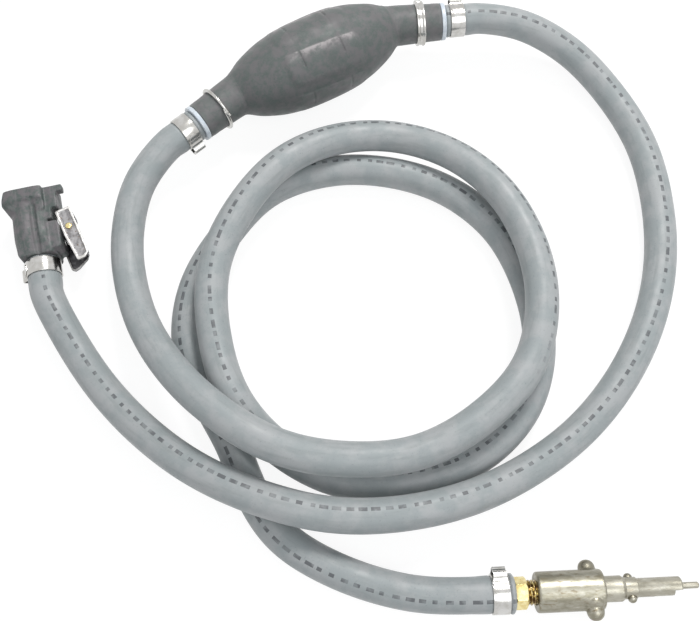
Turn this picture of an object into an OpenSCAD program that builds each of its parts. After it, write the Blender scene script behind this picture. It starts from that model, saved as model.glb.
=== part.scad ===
// Marine fuel line: a squeeze primer bulb between a tank hose and an engine hose.
// Units are millimetres, +Z is up, and everything lies on the plane z = 0.
// The bulb's axis runs along X, from the tank side (-X) to the engine side (+X).

/* [Primer bulb] */
// Length of the bulb's body between its two necks
body_len = 87; // [75:1:100]
// Largest diameter of the body
body_d = 44; // [40:0.5:52]
// Thickness of the rubber wall of the body
bulb_wall = 3.2; // [2.4:0.1:4.2]
// Diameter of a neck where it leaves the body
neck_root_d = 21; // [20:0.1:24]
// Diameter of a neck at its open end
neck_d = 18.6; // [18:0.1:20]
// Length of the tank side neck
inlet_neck_len = 25; // [22:0.5:30]
// Length of the engine side neck
outlet_neck_len = 27.5; // [24:0.5:32]
// Angle by which the tank side neck is bent
inlet_bend = 13; // [5:1:18]
// Angle by which the engine side neck is bent
outlet_bend = 22; // [10:1:26]

/* [Hose] */
// Outer diameter of both hoses
hose_od = 15.5; // [15:0.1:16.2]
// Bore of both hoses
hose_id = 9.5; // [8.5:0.1:10.5]
// Length of each barb inside its hose
barb_len = 18; // [17:0.5:23]
// Height of a barb's ridges over its stem
barb_ridge = 0.5; // [0.3:0.05:0.8]

/* [Check valves] */
// Outer diameter of a valve's barrel inside the neck
valve_od = 14; // [13.4:0.1:14.6]
// Length of a valve's barrel inside the neck
valve_len = 16; // [14.5:0.5:18]
// Bore of the chamber in which a disc lifts
chamber_d = 11.2; // [10.8:0.1:11.8]
// Bore of the passage through a fitting
passage_d = 6.4; // [5.6:0.1:6.8]
// Diameter of a valve disc
disc_d = 9.2; // [8.8:0.1:9.8]
// Lift of a valve disc off its seat
valve_lift = 2; // [1:0.1:2.4]
// Diameter of the flange between a neck and its hose
flange_d = 19; // [18.6:0.1:21]
// Thickness of that flange
flange_t = 2.2; // [1.6:0.1:3]

/* [Clamps] */
// Thickness of a hose clamp's band
clamp_t = 0.8; // [0.5:0.05:1]
// Width of a hose clamp's band
clamp_w = 7.5; // [6.5:0.1:9]
// Width of a clamp's pinched ear
ear_w = 6.8; // [5.5:0.1:8]
// Height of the ear over the hose
ear_h = 4; // [2.6:0.1:5]
// Diameter of the wire of the tank side neck ring
ring_wire = 1.7; // [1.2:0.1:2]
// Distance from the tank side neck's open end to the ring
ring_inset = 11.5; // [9:0.5:15]
// Width of the engine side neck band
neck_band_w = 4.4; // [3.5:0.1:6]
// Distance from the engine side neck's open end to the middle of the band
band_inset = 11; // [8:0.5:14]

/* [Engine connector] */
// Length of the connector from the hose end to its face
conn_len = 34.5; // [33:0.5:38]
// Height of the connector's rim, on which it lies
conn_h = 26; // [25:0.5:30]
// Diameter of the fuel port in the face
port_d = 10; // [9:0.1:11]
// Depth of the fuel port down to its seal
port_depth = 10.2; // [9:0.1:12]
// Travel of the port's valve
port_valve_travel = 3; // [2:0.1:3.5]
// Sheet thickness of the latch lever
lever_t = 0.9; // [0.7:0.05:1.1]
// Clear height inside the lever's channel
lever_gap = 10.8; // [10:0.1:12]
// Length of the lever behind its pivot
lever_tail = 19; // [17:0.5:21]
// Diameter of the lever's pivot rivet
rivet_d = 2; // [1.6:0.1:2.2]

/* [Tank bayonet] */
// Width across flats of the brass hexagon
hex_af = 12; // [11.6:0.1:13]
// Thickness of the hexagon
hex_t = 5.2; // [4.5:0.1:6.5]
// Diameter of the thread between hexagon and barrel
thread_d = 10.8; // [10:0.1:11.4]
// Length of thread that shows
thread_gap = 4.1; // [3.5:0.1:5.5]
// Diameter of the barrel
barrel_d = 17.3; // [16.4:0.1:18]
// Length of the barrel
barrel_len = 29; // [27:0.1:32]
// Reach of a thumb lug from the axis
lug_reach = 13.5; // [12.5:0.1:14.5]
// Diameter of a thumb lug
lug_d = 7.4; // [6.5:0.1:8]
// Diameter of the nozzle's collar
collar_d = 11; // [10.6:0.1:11.4]
// Length of the collar in front of the barrel
collar_len = 9.4; // [8:0.1:11]
// Diameter of the land that holds the locking studs
land_d = 9.2; // [8.8:0.1:10]
// Length of that land
land_len = 5.2; // [5:0.1:6.5]
// Diameter of the nozzle's plug
plug_d = 8; // [7.6:0.1:8.4]
// Length of the plug in front of the land
plug_len = 19.4; // [17:0.1:22]
// Diameter of the locking studs
stud_d = 3.9; // [3.4:0.1:4.4]
// Reach of the locking studs from the axis
stud_reach = 6.6; // [6.2:0.1:7.4]
// Diameter of the needle
needle_d = 2.8; // [2.4:0.1:3]
// Length of needle that stands out of the plug
needle_out = 8; // [5:0.1:10]
// Travel of the needle into the plug
needle_travel = 3; // [2:0.1:4]

/* [Hidden] */
$fn = 48;

// Clearances: at a closed seat, round a sliding piece, under a skin, at the end of a stroke
seat_gap = 0.05;
slide_gap = 0.05;
skin_gap = 0.1;
stop_gap = 0.1;
// Length by which a cut runs past the face that it opens
cut_over = 1;

// Colours
rubber_black = [0.22, 0.22, 0.23];
plastic_black = [0.26, 0.26, 0.27];
hose_grey = [0.62, 0.65, 0.67];
acetal_white = [0.86, 0.89, 0.94];
steel = [0.78, 0.78, 0.77];
brass = [0.80, 0.62, 0.25];
nickel = [0.62, 0.60, 0.54];

// Places of the bulb, the connector and the bayonet
bulb_z = body_d / 2;
conn_pos = [-166.9, -34.3, conn_h / 2];
conn_turn = 75;
bayonet_pos = [-46.1, -274.2, barrel_d / 2];
bayonet_turn = -25.7;

// Hose routes between the fittings: points on the centreline, chosen by hand
tank_route = [
  [-109, -22, 20], [-127, -47, 17], [-136, -81, 20], [-135, -113, 29], [-126, -145, 37],
  [-109, -174, 38], [-85, -192, 31], [-55, -204, 27], [-23, -204, 27], [9, -193, 27],
  [31, -169, 27], [42, -141, 26], [44, -110, 24], [35, -81, 21], [15, -57, 18],
  [-13, -46, 21], [-43, -48, 26], [-72, -61, 26], [-96, -82, 25], [-110, -112, 24],
  [-115, -144, 24], [-107, -172, 15], [-88, -197, 8], [-59, -212, 8], [-27, -216, 8],
  [3, -206, 8], [25, -183, 8], [36, -154, 8], [38, -122, 8], [27, -92, 8],
  [6, -69, 8], [-21, -54, 8], [-53, -50, 8], [-83, -62, 8], [-108, -80, 8],
  [-123, -105, 8], [-126, -132, 8], [-125, -158, 8], [-127, -181, 8], [-124, -205, 8],
  [-108, -231, 8], [-84, -254, 8]
];
engine_route = [
  [107, -31, 20], [124, -55, 14], [131, -85, 9], [129, -116, 8], [118, -146, 8],
  [101, -174, 8], [79, -197, 8], [52, -215, 8], [22, -227, 8], [-10, -232, 12],
  [-42, -231, 17], [-73, -223, 21], [-101, -209, 24], [-125, -188, 26], [-144, -163, 22],
  [-158, -134, 15], [-167, -104, 10], [-171, -75, 10]
];
hose_sides = 12;

// Derived sizes of the bulb
half_body = body_len / 2;
root_r = neck_root_d / 2;
rim_inset = 0.15;
rim_r = root_r - rim_inset;
bulge_sharp = 2.6;
bulge_power = 0.85;
neck_lap = 4.1;
bore_lap = 5.3;
body_r = body_d / 2;
neck_bore_r = valve_od / 2 + skin_gap;
passage_r = passage_d / 2;
chamber_r = chamber_d / 2;
disc_t = 1.4;
disc_stem_d = 2.2;
disc_stop_d = 3.6;
fin_t = 1;
fin_reach = 3;
shoulder_x = -4;
cage_t = 1.5;
cage_x = 0.5 - valve_len;
cage_face_x = cage_x + cage_t;
inlet_disc_x = shoulder_x - disc_t - seat_gap;
outlet_disc_x = cage_face_x + seat_gap;
valve_wire = 0.5;
valve_spring_r = (chamber_r + passage_r - valve_wire) / 2 - 0.25;
profile_steps = 14;
clamp_inset = 2.6;
conn_clamp_inset = 1.2;
ear_share = 0.8;
ear_corner = 1.4;
ear_sink = 2;
ring_end_len = 4;
ring_end_spread = 5;
band_t = 0.9;
bead_t = 0.4;
bead_w = 0.8;
band_clasp_t = 0.7;

// Derived sizes of the connector, in its own frame: +X to the face, +Y to the left
conn_top = conn_h / 2;
rim_x = conn_len - 6;
rim_step = 2;
rim_flat = 1.5;
rim_flare = 6.5;
rim_left = 14;
rim_corner = 6;
rim_clear = 0.3;
face_left = 11.6;
core_z = 11;
core_left = 10.4;
core_right = 6.5;
core_corner = 8;
core_taper = 10;
hose_end_r = 8.8;
hose_end_len = 4;
pad_x0 = 1.5;
pad_x1 = 16;
pad_right = 11.9;
pad_inner = 5.7;
pad_top = 9;
pad_corner = 1;
block_x = pad_x1 + 1;
block_right = 12.5;
block_inner = 4;
block_top = 9.5;
block_low = -2;
lip_t = 3.5;
lip_right = 15.8;
lip_low = 5;
seal_wire_d = 1.76;
seal_groove = 1.8;
port_floor_x = conn_len - port_depth - seal_groove;
port_hole_r = 2.4;
port_seat_t = 2;
port_chamber_r = 4.2;
port_head_t = 1.5;
port_fin_len = 4;
port_spring_r = 3.4;
port_wire = 0.6;
barb_seat_x = 8;
barb_shank_r = 5.2;
conn_bore_r = passage_r - 0.6;
pivot = [12.5, -15.9];
lever_turn = 12.8;
lever_front = 10;
lever_half = 3.6;
lever_nose = 1.5;
tab_left = 8;
// The web's outer face leans from web_top at the upper flange to web_low at the lower one
web_top = 4;
web_low = 2.7;
web_mid = (web_top + web_low) / 2;
web_lean = (web_top - web_low) / lever_gap;
web_lap = 0.1;
hook_x = lever_front - 1.9;
hook_t = 1.6;
hook_link_t = 1.2;
hook_z = 4;
hook_left = 4.2;
lever_web_reach = 2 * web_top;
flange_room = 0.5;
flange_room_y = 7.5;
notch_front = pivot[0] + lever_front + 0.3;
notch_y = 9.2;
lug_r = web_low - lever_t - skin_gap;
latch_spring_x = 7.4;
latch_spring_r = 1.7;
latch_wire = 0.6;
latch_spring_web = -pivot[1] + (pivot[0] - latch_spring_x - latch_spring_r) * tan(lever_turn)
  + (web_mid - lever_t - web_lean * (latch_spring_r + latch_wire)) / cos(lever_turn);

// Derived sizes of the bayonet, in its own frame: +X to the needle's tip
barrel_x = hex_t + thread_gap;
thread_in = 8;
barrel_end = barrel_x + barrel_len;
collar_end = barrel_end + collar_len;
collar_bevel = 1;
land_end = collar_end + land_len;
plug_end = land_end + plug_len;
nozzle_x = barrel_end - 8.5;
nozzle_chamber_r = 3.8;
nozzle_shoulder_x = collar_end - 2.5;
nozzle_flange_r = collar_d / 2 + 0.9;
nozzle_flange_t = 1.9;
needle_guide = 8;
slot_len = 12;
slot_w = 2;
tip_cut = 3.5;
lug_x = barrel_end - 4.9;
lug_tilt = 20;
stud_x = collar_end + land_len / 2 + 0.1;
stud_seat = 1.2;
needle_r = needle_d / 2;
seal_wire = 1.6;
needle_head_t = 1.8;
needle_spring_r = 2.7;
needle_wire = 0.6;
clip_t = 1.2;
clip_hole_r = 1.7;

// ---------- frames ----------

module at_inlet() {
  translate([-half_body, 0, bulb_z]) rotate([0, 0, 180 + inlet_bend]) children();
}

module at_outlet() {
  translate([half_body, 0, bulb_z]) rotate([0, 0, -outlet_bend]) children();
}

module at_inlet_face() {
  at_inlet() translate([inlet_neck_len + skin_gap, 0, 0]) children();
}

module at_outlet_face() {
  at_outlet() translate([outlet_neck_len + skin_gap, 0, 0]) children();
}

module at_connector() {
  translate(conn_pos) rotate([0, 0, conn_turn]) children();
}

module at_bayonet() {
  translate(bayonet_pos) rotate([0, 0, bayonet_turn]) children();
}

// ---------- shapes that repeat ----------

module rod(r, x0, x1) {
  translate([x0, 0, 0]) rotate([0, 90, 0]) cylinder(r = r, h = x1 - x0);
}

module cone(r0, r1, x0, x1) {
  translate([x0, 0, 0]) rotate([0, 90, 0]) cylinder(r1 = r0, r2 = r1, h = x1 - x0);
}

module lathe(points) {
  rotate([0, 90, 0]) rotate_extrude() polygon(points);
}

module torus(ring_r, wire_r, x) {
  translate([x, 0, 0]) rotate([0, 90, 0]) rotate_extrude() translate([ring_r, 0]) circle(r = wire_r);
}

// Three crossed blades along X that guide a valve in a bore of radius r
module fins(r, x0, x1) {
  intersection() {
    rod(r, x0, x1);
    for (a = [0:60:120]) rotate([a, 0, 0]) translate([x0, -r, -fin_t / 2]) cube([x1 - x0, 2 * r, fin_t]);
  }
}

// A flat rectangle with round corners, for extruding
module rounded_slab(x0, x1, y0, y1, r) {
  translate([x0 + r, y0]) square([x1 - x0 - 2 * r, y1 - y0]);
  translate([x0, y0 + r]) square([x1 - x0, y1 - y0 - 2 * r]);
  for (x = [x0 + r, x1 - r], y = [y0 + r, y1 - r]) translate([x, y]) circle(r = r);
}

// A hose barb along +X: a stem with three ridges that slope down towards its tip
module barb(length, bore_r) {
  stem_r = hose_id / 2;
  pitch = length / 4;
  difference() {
    union() {
      rod(stem_r, 0, length);
      for (i = [1:3]) cone(stem_r + barb_ridge, stem_r, i * pitch, i * pitch + 0.8 * pitch);
    }
    rod(bore_r, -cut_over, length + cut_over);
  }
}

// Centre, across and up directions of a path's ring, where the path is never vertical
function unit(v) = v / norm(v);
function tangent(path, i) = unit(path[min(i + 1, len(path) - 1)] - path[max(i - 1, 0)]);
function across(t) = unit(cross(t, [0, 0, 1]));
function ring_point(path, i, r, a) =
  let (t = tangent(path, i), s = across(t), u = cross(s, t))
  path[i] + r * (cos(a) * s + sin(a) * u);

// A hollow tube swept along a path, with flat ring-shaped ends
module tube(path, ro, ri, sides) {
  last = len(path) - 1;
  step = 360 / sides;
  points = [
    for (i = [0:last]) each [
      for (j = [0:sides - 1]) ring_point(path, i, ro, j * step),
      for (j = [0:sides - 1]) ring_point(path, i, ri, j * step)
    ]
  ];
  ring = 2 * sides;
  faces = [
    for (i = [0:last - 1], j = [0:sides - 1]) let (k = (j + 1) % sides, a = i * ring, b = a + ring) each [
      [a + j, a + k, b + k], [a + j, b + k, b + j],
      [a + sides + j, b + sides + k, a + sides + k], [a + sides + j, b + sides + j, b + sides + k]
    ],
    for (j = [0:sides - 1]) let (k = (j + 1) % sides, e = last * ring) each [
      [j, sides + k, k], [j, sides + j, sides + k],
      [e + j, e + k, e + sides + k], [e + j, e + sides + k, e + sides + j]
    ]
  ];
  polyhedron(points, faces);
}

// Radius of what slides inside a coil spring
spring_steps = 12;
function inside_spring(r, wire) = (r - wire / 2) * cos(180 / spring_steps) - slide_gap;

// A coil spring along X between two seats
module spring(r, wire, x0, x1, turns) {
  sides = 6;
  per_turn = spring_steps;
  last = turns * per_turn;
  rise = x1 - x0 - wire;
  points = [
    for (i = [0:last]) let (a = i * 360 / per_turn, x = x0 + wire / 2 + rise * i / last)
      for (j = [0:sides - 1]) let (b = j * 360 / sides, q = r + wire / 2 * cos(b))
        [x + wire / 2 * sin(b), q * cos(a), q * sin(a)]
  ];
  faces = [
    for (i = [0:last - 1], j = [0:sides - 1]) let (k = (j + 1) % sides, a = i * sides, b = a + sides) each [
      [a + j, a + k, b + k], [a + j, b + k, b + j]
    ],
    [for (j = [sides - 1:-1:0]) j],
    [for (j = [0:sides - 1]) last * sides + j]
  ];
  polyhedron(points, faces);
}

// A one-ear hose clamp around the X axis, from x0 on, with its ear turned by ear_turn about X
module ear_clamp(x0, ear_turn) {
  r = hose_od / 2;
  translate([x0, 0, 0]) rotate([ear_turn, 0, 0]) rotate([0, 90, 0]) {
    difference() {
      cylinder(r = r + clamp_t, h = clamp_w);
      translate([0, 0, -1]) cylinder(r = r, h = clamp_w + 2);
    }
    // The ear stands on the band along -X of this turned frame
    translate([0, 0, clamp_w * (1 - ear_share) / 2]) linear_extrude(clamp_w * ear_share) difference() {
      rounded_slab(-r - ear_h, ear_sink - r, -ear_w / 2, ear_w / 2, ear_corner);
      rounded_slab(clamp_t - r - ear_h, ear_sink - r, clamp_t - ear_w / 2, ear_w / 2 - clamp_t,
        max(ear_corner - clamp_t, 0.2));
      circle(r = r + clamp_t / 2);
    }
  }
}

// ---------- primer bulb ----------

function bulge(x) = rim_r + (body_r - rim_r) * pow(1 - pow(abs(x) / half_body, bulge_sharp), bulge_power);

// Body profile from one end to the other, with a skin that is inset by some amount
function body_profile(inset) = [
  for (i = [0:2 * profile_steps]) let (x = -half_body * cos(90 * i / profile_steps))
    [max(bulge(x) - inset, 0.1), x]
];

module neck(length, root, tip) {
  cone(root, tip, 0, length);
  rod(root, -neck_lap, 0.01);
}

module primer_bulb() {
  color(rubber_black) difference() {
    union() {
      translate([0, 0, bulb_z]) lathe(concat([[0, -half_body]], body_profile(0), [[0, half_body]]));
      at_inlet() neck(inlet_neck_len, root_r, neck_d / 2);
      at_outlet() neck(outlet_neck_len, root_r, neck_d / 2);
    }
    translate([0, 0, bulb_z])
      lathe(concat([[0, -half_body]], body_profile(bulb_wall), [[0, half_body]]));
    at_inlet() rod(neck_bore_r, -bore_lap, inlet_neck_len + cut_over);
    at_outlet() rod(neck_bore_r, -bore_lap, outlet_neck_len + cut_over);
  }
}

// ---------- check valves ----------
// Each fitting's own frame starts at its flange, with +X out of the bulb

module barb_fitting() {
  color(acetal_white) {
    difference() {
      union() {
        rod(valve_od / 2, -valve_len, 0.1);
        rod(flange_d / 2, 0, flange_t);
      }
      rod(passage_r, -valve_len - cut_over, flange_t + cut_over);
      rod(chamber_r, -valve_len - cut_over, shoulder_x);
    }
    translate([flange_t, 0, 0]) barb(barb_len, passage_r);
  }
}

module inlet_barb_fitting() {
  at_inlet_face() barb_fitting();
}

// The disc closes on the fitting's shoulder, and its stop meets the cage's hub when it is open
module inlet_valve_disc() {
  color(brass) at_inlet_face() {
    rod(disc_d / 2, inlet_disc_x, inlet_disc_x + disc_t);
    rod(disc_stop_d / 2, cage_face_x + valve_lift + stop_gap, inlet_disc_x);
    rod(disc_stem_d / 2, cage_x - 1, inlet_disc_x);
  }
}

module inlet_valve_spring() {
  color(steel) at_inlet_face() spring(valve_spring_r, valve_wire, cage_face_x, inlet_disc_x, 5);
}

module inlet_valve_cage() {
  hub_r = disc_stop_d / 2 + 0.4;
  spoke_w = 1.6;
  color(steel) at_inlet_face() difference() {
    union() {
      difference() {
        rod(chamber_r, cage_x, cage_face_x);
        rod(disc_d / 2, cage_x - cut_over, cage_face_x + cut_over);
      }
      rod(hub_r, cage_x, cage_face_x);
      for (a = [0:120:240]) rotate([a, 0, 0])
        translate([cage_x, hub_r - 0.2, -spoke_w / 2]) cube([cage_t, disc_d / 2 - hub_r + 0.4, spoke_w]);
    }
    rod(disc_stem_d / 2 + slide_gap, cage_x - cut_over, cage_face_x + cut_over);
  }
}

module outlet_barb_fitting() {
  at_outlet_face() barb_fitting();
}

// The disc closes on the pressed-in seat; its wide fins meet the shoulder when it is open
module outlet_valve_disc() {
  stop_x = shoulder_x - valve_lift - stop_gap;
  color(brass) at_outlet_face() {
    rod(disc_d / 2, outlet_disc_x, outlet_disc_x + disc_t);
    fins(inside_spring(valve_spring_r, valve_wire), outlet_disc_x, stop_x);
    fins(passage_r - slide_gap, outlet_disc_x, shoulder_x + fin_reach);
  }
}

module outlet_valve_spring() {
  color(steel) at_outlet_face()
    spring(valve_spring_r, valve_wire, outlet_disc_x + disc_t, shoulder_x, 5);
}

module outlet_valve_seat() {
  color(steel) at_outlet_face() difference() {
    rod(chamber_r, cage_x, cage_face_x);
    rod(passage_r, cage_x - cut_over, cage_face_x + cut_over);
  }
}

// ---------- rings and clamps ----------

function neck_r(x, length) = root_r + (neck_d / 2 - root_r) * x / length;

module inlet_neck_ring() {
  x = inlet_neck_len - ring_inset;
  w = ring_wire / 2;
  r = neck_r(x - w, inlet_neck_len) + w + skin_gap;
  color(steel) at_inlet() {
    torus(r, w, x);
    // The two crossed ends of the wire
    rotate([-50, 0, 0]) for (s = [-1, 1]) translate([x + 0.9 * w * s, -ring_end_len / 2, r + 0.5 * w])
      rotate([-90, 0, ring_end_spread * s]) cylinder(r = 0.85 * w, h = ring_end_len);
  }
}

module outlet_neck_band() {
  x0 = outlet_neck_len - band_inset - neck_band_w / 2;
  ri = neck_r(x0, outlet_neck_len) + skin_gap;
  x1 = x0 + neck_band_w;
  flat_r = ri + band_t;
  bead_r = flat_r + bead_t;
  color(steel) at_outlet() {
    lathe([
      [ri, x0], [bead_r, x0], [bead_r, x0 + bead_w], [flat_r, x0 + bead_w + bead_t],
      [flat_r, x1 - bead_w - bead_t], [bead_r, x1 - bead_w], [bead_r, x1], [ri, x1]
    ]);
    // Folded clasp
    rotate([-70, 0, 0]) translate([x0 + bead_w / 2, -2, ri + band_t / 2])
      cube([neck_band_w - bead_w, 4, band_t / 2 + bead_t + band_clasp_t]);
  }
}

module inlet_hose_clamp() {
  color(steel) at_inlet_face() ear_clamp(flange_t + clamp_inset, -120);
}

module outlet_hose_clamp() {
  color(steel) at_outlet_face() ear_clamp(flange_t + clamp_inset, -60);
}

module connector_hose_clamp() {
  color(steel) at_connector() ear_clamp(-conn_clamp_inset - clamp_w, -120);
}

module bayonet_hose_clamp() {
  color(steel) at_bayonet() ear_clamp(-clamp_inset - clamp_w, -60);
}

// ---------- hoses ----------

function turned(a) = [cos(a), sin(a), 0];

inlet_dir = turned(180 + inlet_bend);
outlet_dir = turned(-outlet_bend);
conn_dir = turned(conn_turn);
bayonet_dir = turned(bayonet_turn);
inlet_hose_pos = [-half_body, 0, bulb_z] + (inlet_neck_len + skin_gap + flange_t) * inlet_dir;
outlet_hose_pos = [half_body, 0, bulb_z] + (outlet_neck_len + skin_gap + flange_t) * outlet_dir;

tank_path = concat(
  [inlet_hose_pos, inlet_hose_pos + barb_len * inlet_dir],
  tank_route,
  [bayonet_pos - barb_len * bayonet_dir, bayonet_pos]
);
engine_path = concat(
  [outlet_hose_pos, outlet_hose_pos + barb_len * outlet_dir],
  engine_route,
  [conn_pos - barb_len * conn_dir, conn_pos]
);

module tank_hose() {
  color(hose_grey) tube(tank_path, hose_od / 2, hose_id / 2, hose_sides);
}

module engine_hose() {
  color(hose_grey) tube(engine_path, hose_od / 2, hose_id / 2, hose_sides);
}

// ---------- engine connector ----------

// The moulded core: its plan and its side view, intersected with its end view
module connector_core() {
  tall = 2 * conn_h;
  core_reach = norm([core_left - core_corner, core_z - core_corner]) + core_corner + rim_clear;
  rim_reach = norm([rim_left - rim_corner, conn_top - rim_corner]) + rim_corner + rim_clear;
  intersection() {
    translate([0, 0, -tall / 2]) linear_extrude(tall) polygon([
      [0, hose_end_r], [core_taper, core_left], [rim_x - rim_flare, core_left], [rim_x, rim_left],
      [rim_x + rim_flat, rim_left], [conn_len, face_left], [conn_len, -core_right],
      [2 * hose_end_len, -core_right], [hose_end_len, -hose_end_r], [0, -hose_end_r]
    ]);
    rotate([90, 0, 0]) translate([0, 0, -tall / 2]) linear_extrude(tall) polygon([
      [0, hose_end_r], [core_taper, core_z], [rim_x - rim_step, core_z], [rim_x, conn_top],
      [conn_len, conn_top], [conn_len, -conn_top], [rim_x, -conn_top], [rim_x - rim_step, -core_z],
      [core_taper, -core_z], [0, -hose_end_r]
    ]);
    union() {
      rotate([90, 0, 90]) linear_extrude(conn_len)
        rounded_slab(-hose_end_r, core_left, -core_z, core_z, core_corner);
      // The rim's fuller corners grow out of the core
      intersection() {
        rotate([90, 0, 90]) linear_extrude(conn_len)
          rounded_slab(-hose_end_r, rim_left, -conn_top, conn_top, rim_corner);
        union() {
          cone(core_reach, rim_reach, rim_x - rim_flare, rim_x);
          rod(rim_reach, rim_x, conn_len);
        }
      }
    }
  }
}

module connector_side() {
  lug_z = lever_gap / 2 - flange_room;
  // Front block beside the core, cut back for the lever's front end, with a lip at the face
  translate([0, 0, block_low]) linear_extrude(block_top - block_low) polygon([
    [block_x, -block_inner], [block_x, -notch_y], [notch_front, -notch_y], [notch_front, -block_right],
    [conn_len, -block_right], [conn_len, -block_inner]
  ]);
  translate([conn_len - lip_t, -lip_right, lip_low])
    cube([lip_t, lip_right - block_inner, block_top - lip_low]);
  // Lug between the lever's flanges, which carries the rivet
  translate([0, 0, -lug_z]) linear_extrude(2 * lug_z) {
    translate([pivot[0] - lug_r, pivot[1]]) square([2 * lug_r, -pivot[1] - block_inner]);
    translate(pivot) circle(r = lug_r);
  }
  // Raised pad beside the core, over the lever's lower flange
  translate([0, 0, -lug_z]) linear_extrude(lug_z + pad_top) polygon([
    [pad_x0, -pad_inner], [pad_x0, pad_corner - pad_right], [pad_x0 + pad_corner, -pad_right],
    [pad_x1 - 3 * pad_corner, -pad_right], [pad_x1, pad_corner - pad_right], [pad_x1, -pad_inner]
  ]);
}

module connector_body() {
  room_h = lever_t + 2 * flange_room;
  color(plastic_black) at_connector() difference() {
    union() {
      connector_core();
      connector_side();
    }
    rod(port_d / 2, conn_len - port_depth, conn_len + cut_over);
    rod(port_d / 2 + seal_groove / 2, port_floor_x, conn_len - port_depth);
    rod(port_hole_r, port_floor_x - port_seat_t - cut_over, port_floor_x + cut_over);
    rod(port_chamber_r, barb_seat_x - cut_over, port_floor_x - port_seat_t);
    rod(barb_shank_r, -cut_over, barb_seat_x);
    // Rivet hole, and the room in which the lever's lower flange swings
    translate([pivot[0], pivot[1], -conn_h]) cylinder(d = rivet_d, h = 2 * conn_h);
    translate([-cut_over, -2 * conn_h, flange_room - lever_gap / 2 - room_h])
      cube([pad_x1 + cut_over, 2 * conn_h - flange_room_y, room_h]);
  }
}

module connector_barb() {
  color(brass) at_connector() {
    difference() {
      rod(barb_shank_r, 0, barb_seat_x);
      rod(conn_bore_r, -cut_over, barb_seat_x + cut_over);
    }
    mirror([1, 0, 0]) barb(barb_len, conn_bore_r);
  }
}

port_head_x = port_floor_x - port_seat_t - seat_gap - port_head_t;
port_fin_x = port_head_x - port_fin_len;

// Its pin stands in the port, and its tail meets the barb's end when it is pushed in
module port_valve() {
  pin_r = 1.2;
  color(brass) at_connector() {
    rod(port_chamber_r - 0.9, port_head_x, port_head_x + port_head_t);
    rod(pin_r, port_head_x, port_floor_x + 1.5);
    fins(port_chamber_r - slide_gap, port_fin_x, port_head_x + 0.1);
    fins(inside_spring(port_spring_r, port_wire),
      barb_seat_x + port_valve_travel + stop_gap, port_fin_x + 0.1);
  }
}

module port_valve_spring() {
  color(steel) at_connector() spring(port_spring_r, port_wire, barb_seat_x, port_fin_x, 5);
}

module port_seal() {
  color(rubber_black) at_connector()
    torus(port_d / 2, seal_wire_d / 2, port_floor_x + seal_groove / 2);
}

// ---------- latch ----------

module at_latch() {
  at_connector() translate([pivot[0], pivot[1], 0]) rotate([0, 0, lever_turn]) children();
}

// Outlines of the lever's flanges, with the pivot at the origin and the free end along -X
module upper_flange_outline() {
  polygon([
    [lever_front, lever_half], [lever_front, -lever_half], [lever_front - lever_nose, -web_top],
    [2 - lever_tail, -web_top], [-lever_tail, -1.6], [-lever_tail, 2.2], [-4, lever_half]
  ]);
}

// The lower flange is wider, and ends in a thumb tab
module lower_flange_outline() {
  polygon([
    [lever_front, lever_half], [lever_front, -lever_half], [lever_front - 2 * lever_nose, -lever_half],
    [lever_front - 3 * lever_nose, -web_low], [6.5 - lever_tail, -web_low], [4.2 - lever_tail, -1.2],
    [1.3 - lever_tail, 4.2], [0.9 - lever_tail, 6.4], [2.2 - lever_tail, tab_left], [2, tab_left],
    [lever_half, lever_half]
  ]);
}

module latch_lever() {
  h = lever_gap / 2;
  edge = h + web_lap;
  web_x1 = lever_front - lever_nose;
  color(steel) at_latch() difference() {
    union() {
      translate([0, 0, h]) linear_extrude(lever_t) upper_flange_outline();
      translate([0, 0, -h - lever_t]) linear_extrude(lever_t) lower_flange_outline();
      // Leaning web along the outer side, with a slanted end
      intersection() {
        translate([-lever_tail, 0, 0]) rotate([90, 0, 90]) linear_extrude(lever_tail + web_x1) polygon([
          [-web_top, edge], [lever_t - web_top, edge], [lever_t - web_low, -edge], [-web_low, -edge]
        ]);
        translate([0, lever_web_reach, 0]) rotate([90, 0, 0]) linear_extrude(2 * lever_web_reach) polygon([
          [1.5 - lever_tail, edge], [6.5 - lever_tail, -edge], [web_x1, -edge], [web_x1, edge]
        ]);
      }
      // Hook at the front end, on a link between the flanges
      translate([hook_x, -lever_half, -hook_z]) cube([hook_t, lever_half + hook_left, 2 * hook_z]);
      translate([hook_x, -lever_half, -edge]) cube([hook_link_t, lever_half, 2 * edge]);
    }
    translate([0, 0, -conn_h]) cylinder(d = rivet_d + 2 * slide_gap, h = 2 * conn_h);
  }
}

module latch_rivet() {
  h = lever_gap / 2 + lever_t + slide_gap;
  head_t = 0.7;
  color(brass) at_latch() {
    translate([0, 0, -h - head_t / 2]) cylinder(d = rivet_d, h = 2 * h + head_t);
    for (s = [0, 1]) mirror([0, 0, s]) translate([0, 0, h])
      cylinder(r1 = rivet_d / 2 + 0.55, r2 = rivet_d / 2 + 0.25, h = head_t);
  }
}

// The spring stands between the connector's pad and the lever's web
module latch_spring() {
  color(steel) at_connector() translate([latch_spring_x, 0, 0]) rotate([0, 0, -90])
    spring(latch_spring_r, latch_wire, pad_right, latch_spring_web, 4);
}

// ---------- tank bayonet ----------

module bayonet_barb() {
  color(brass) at_bayonet() {
    difference() {
      union() {
        rotate([30, 0, 0]) rotate([0, 90, 0]) cylinder(r = hex_af / sqrt(3), h = hex_t, $fn = 6);
        rod(thread_d / 2, hex_t - 0.1, barrel_x + thread_in);
      }
      rod(passage_r, -cut_over, barrel_x + thread_in + cut_over);
    }
    mirror([1, 0, 0]) barb(barb_len, passage_r);
  }
}

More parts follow.
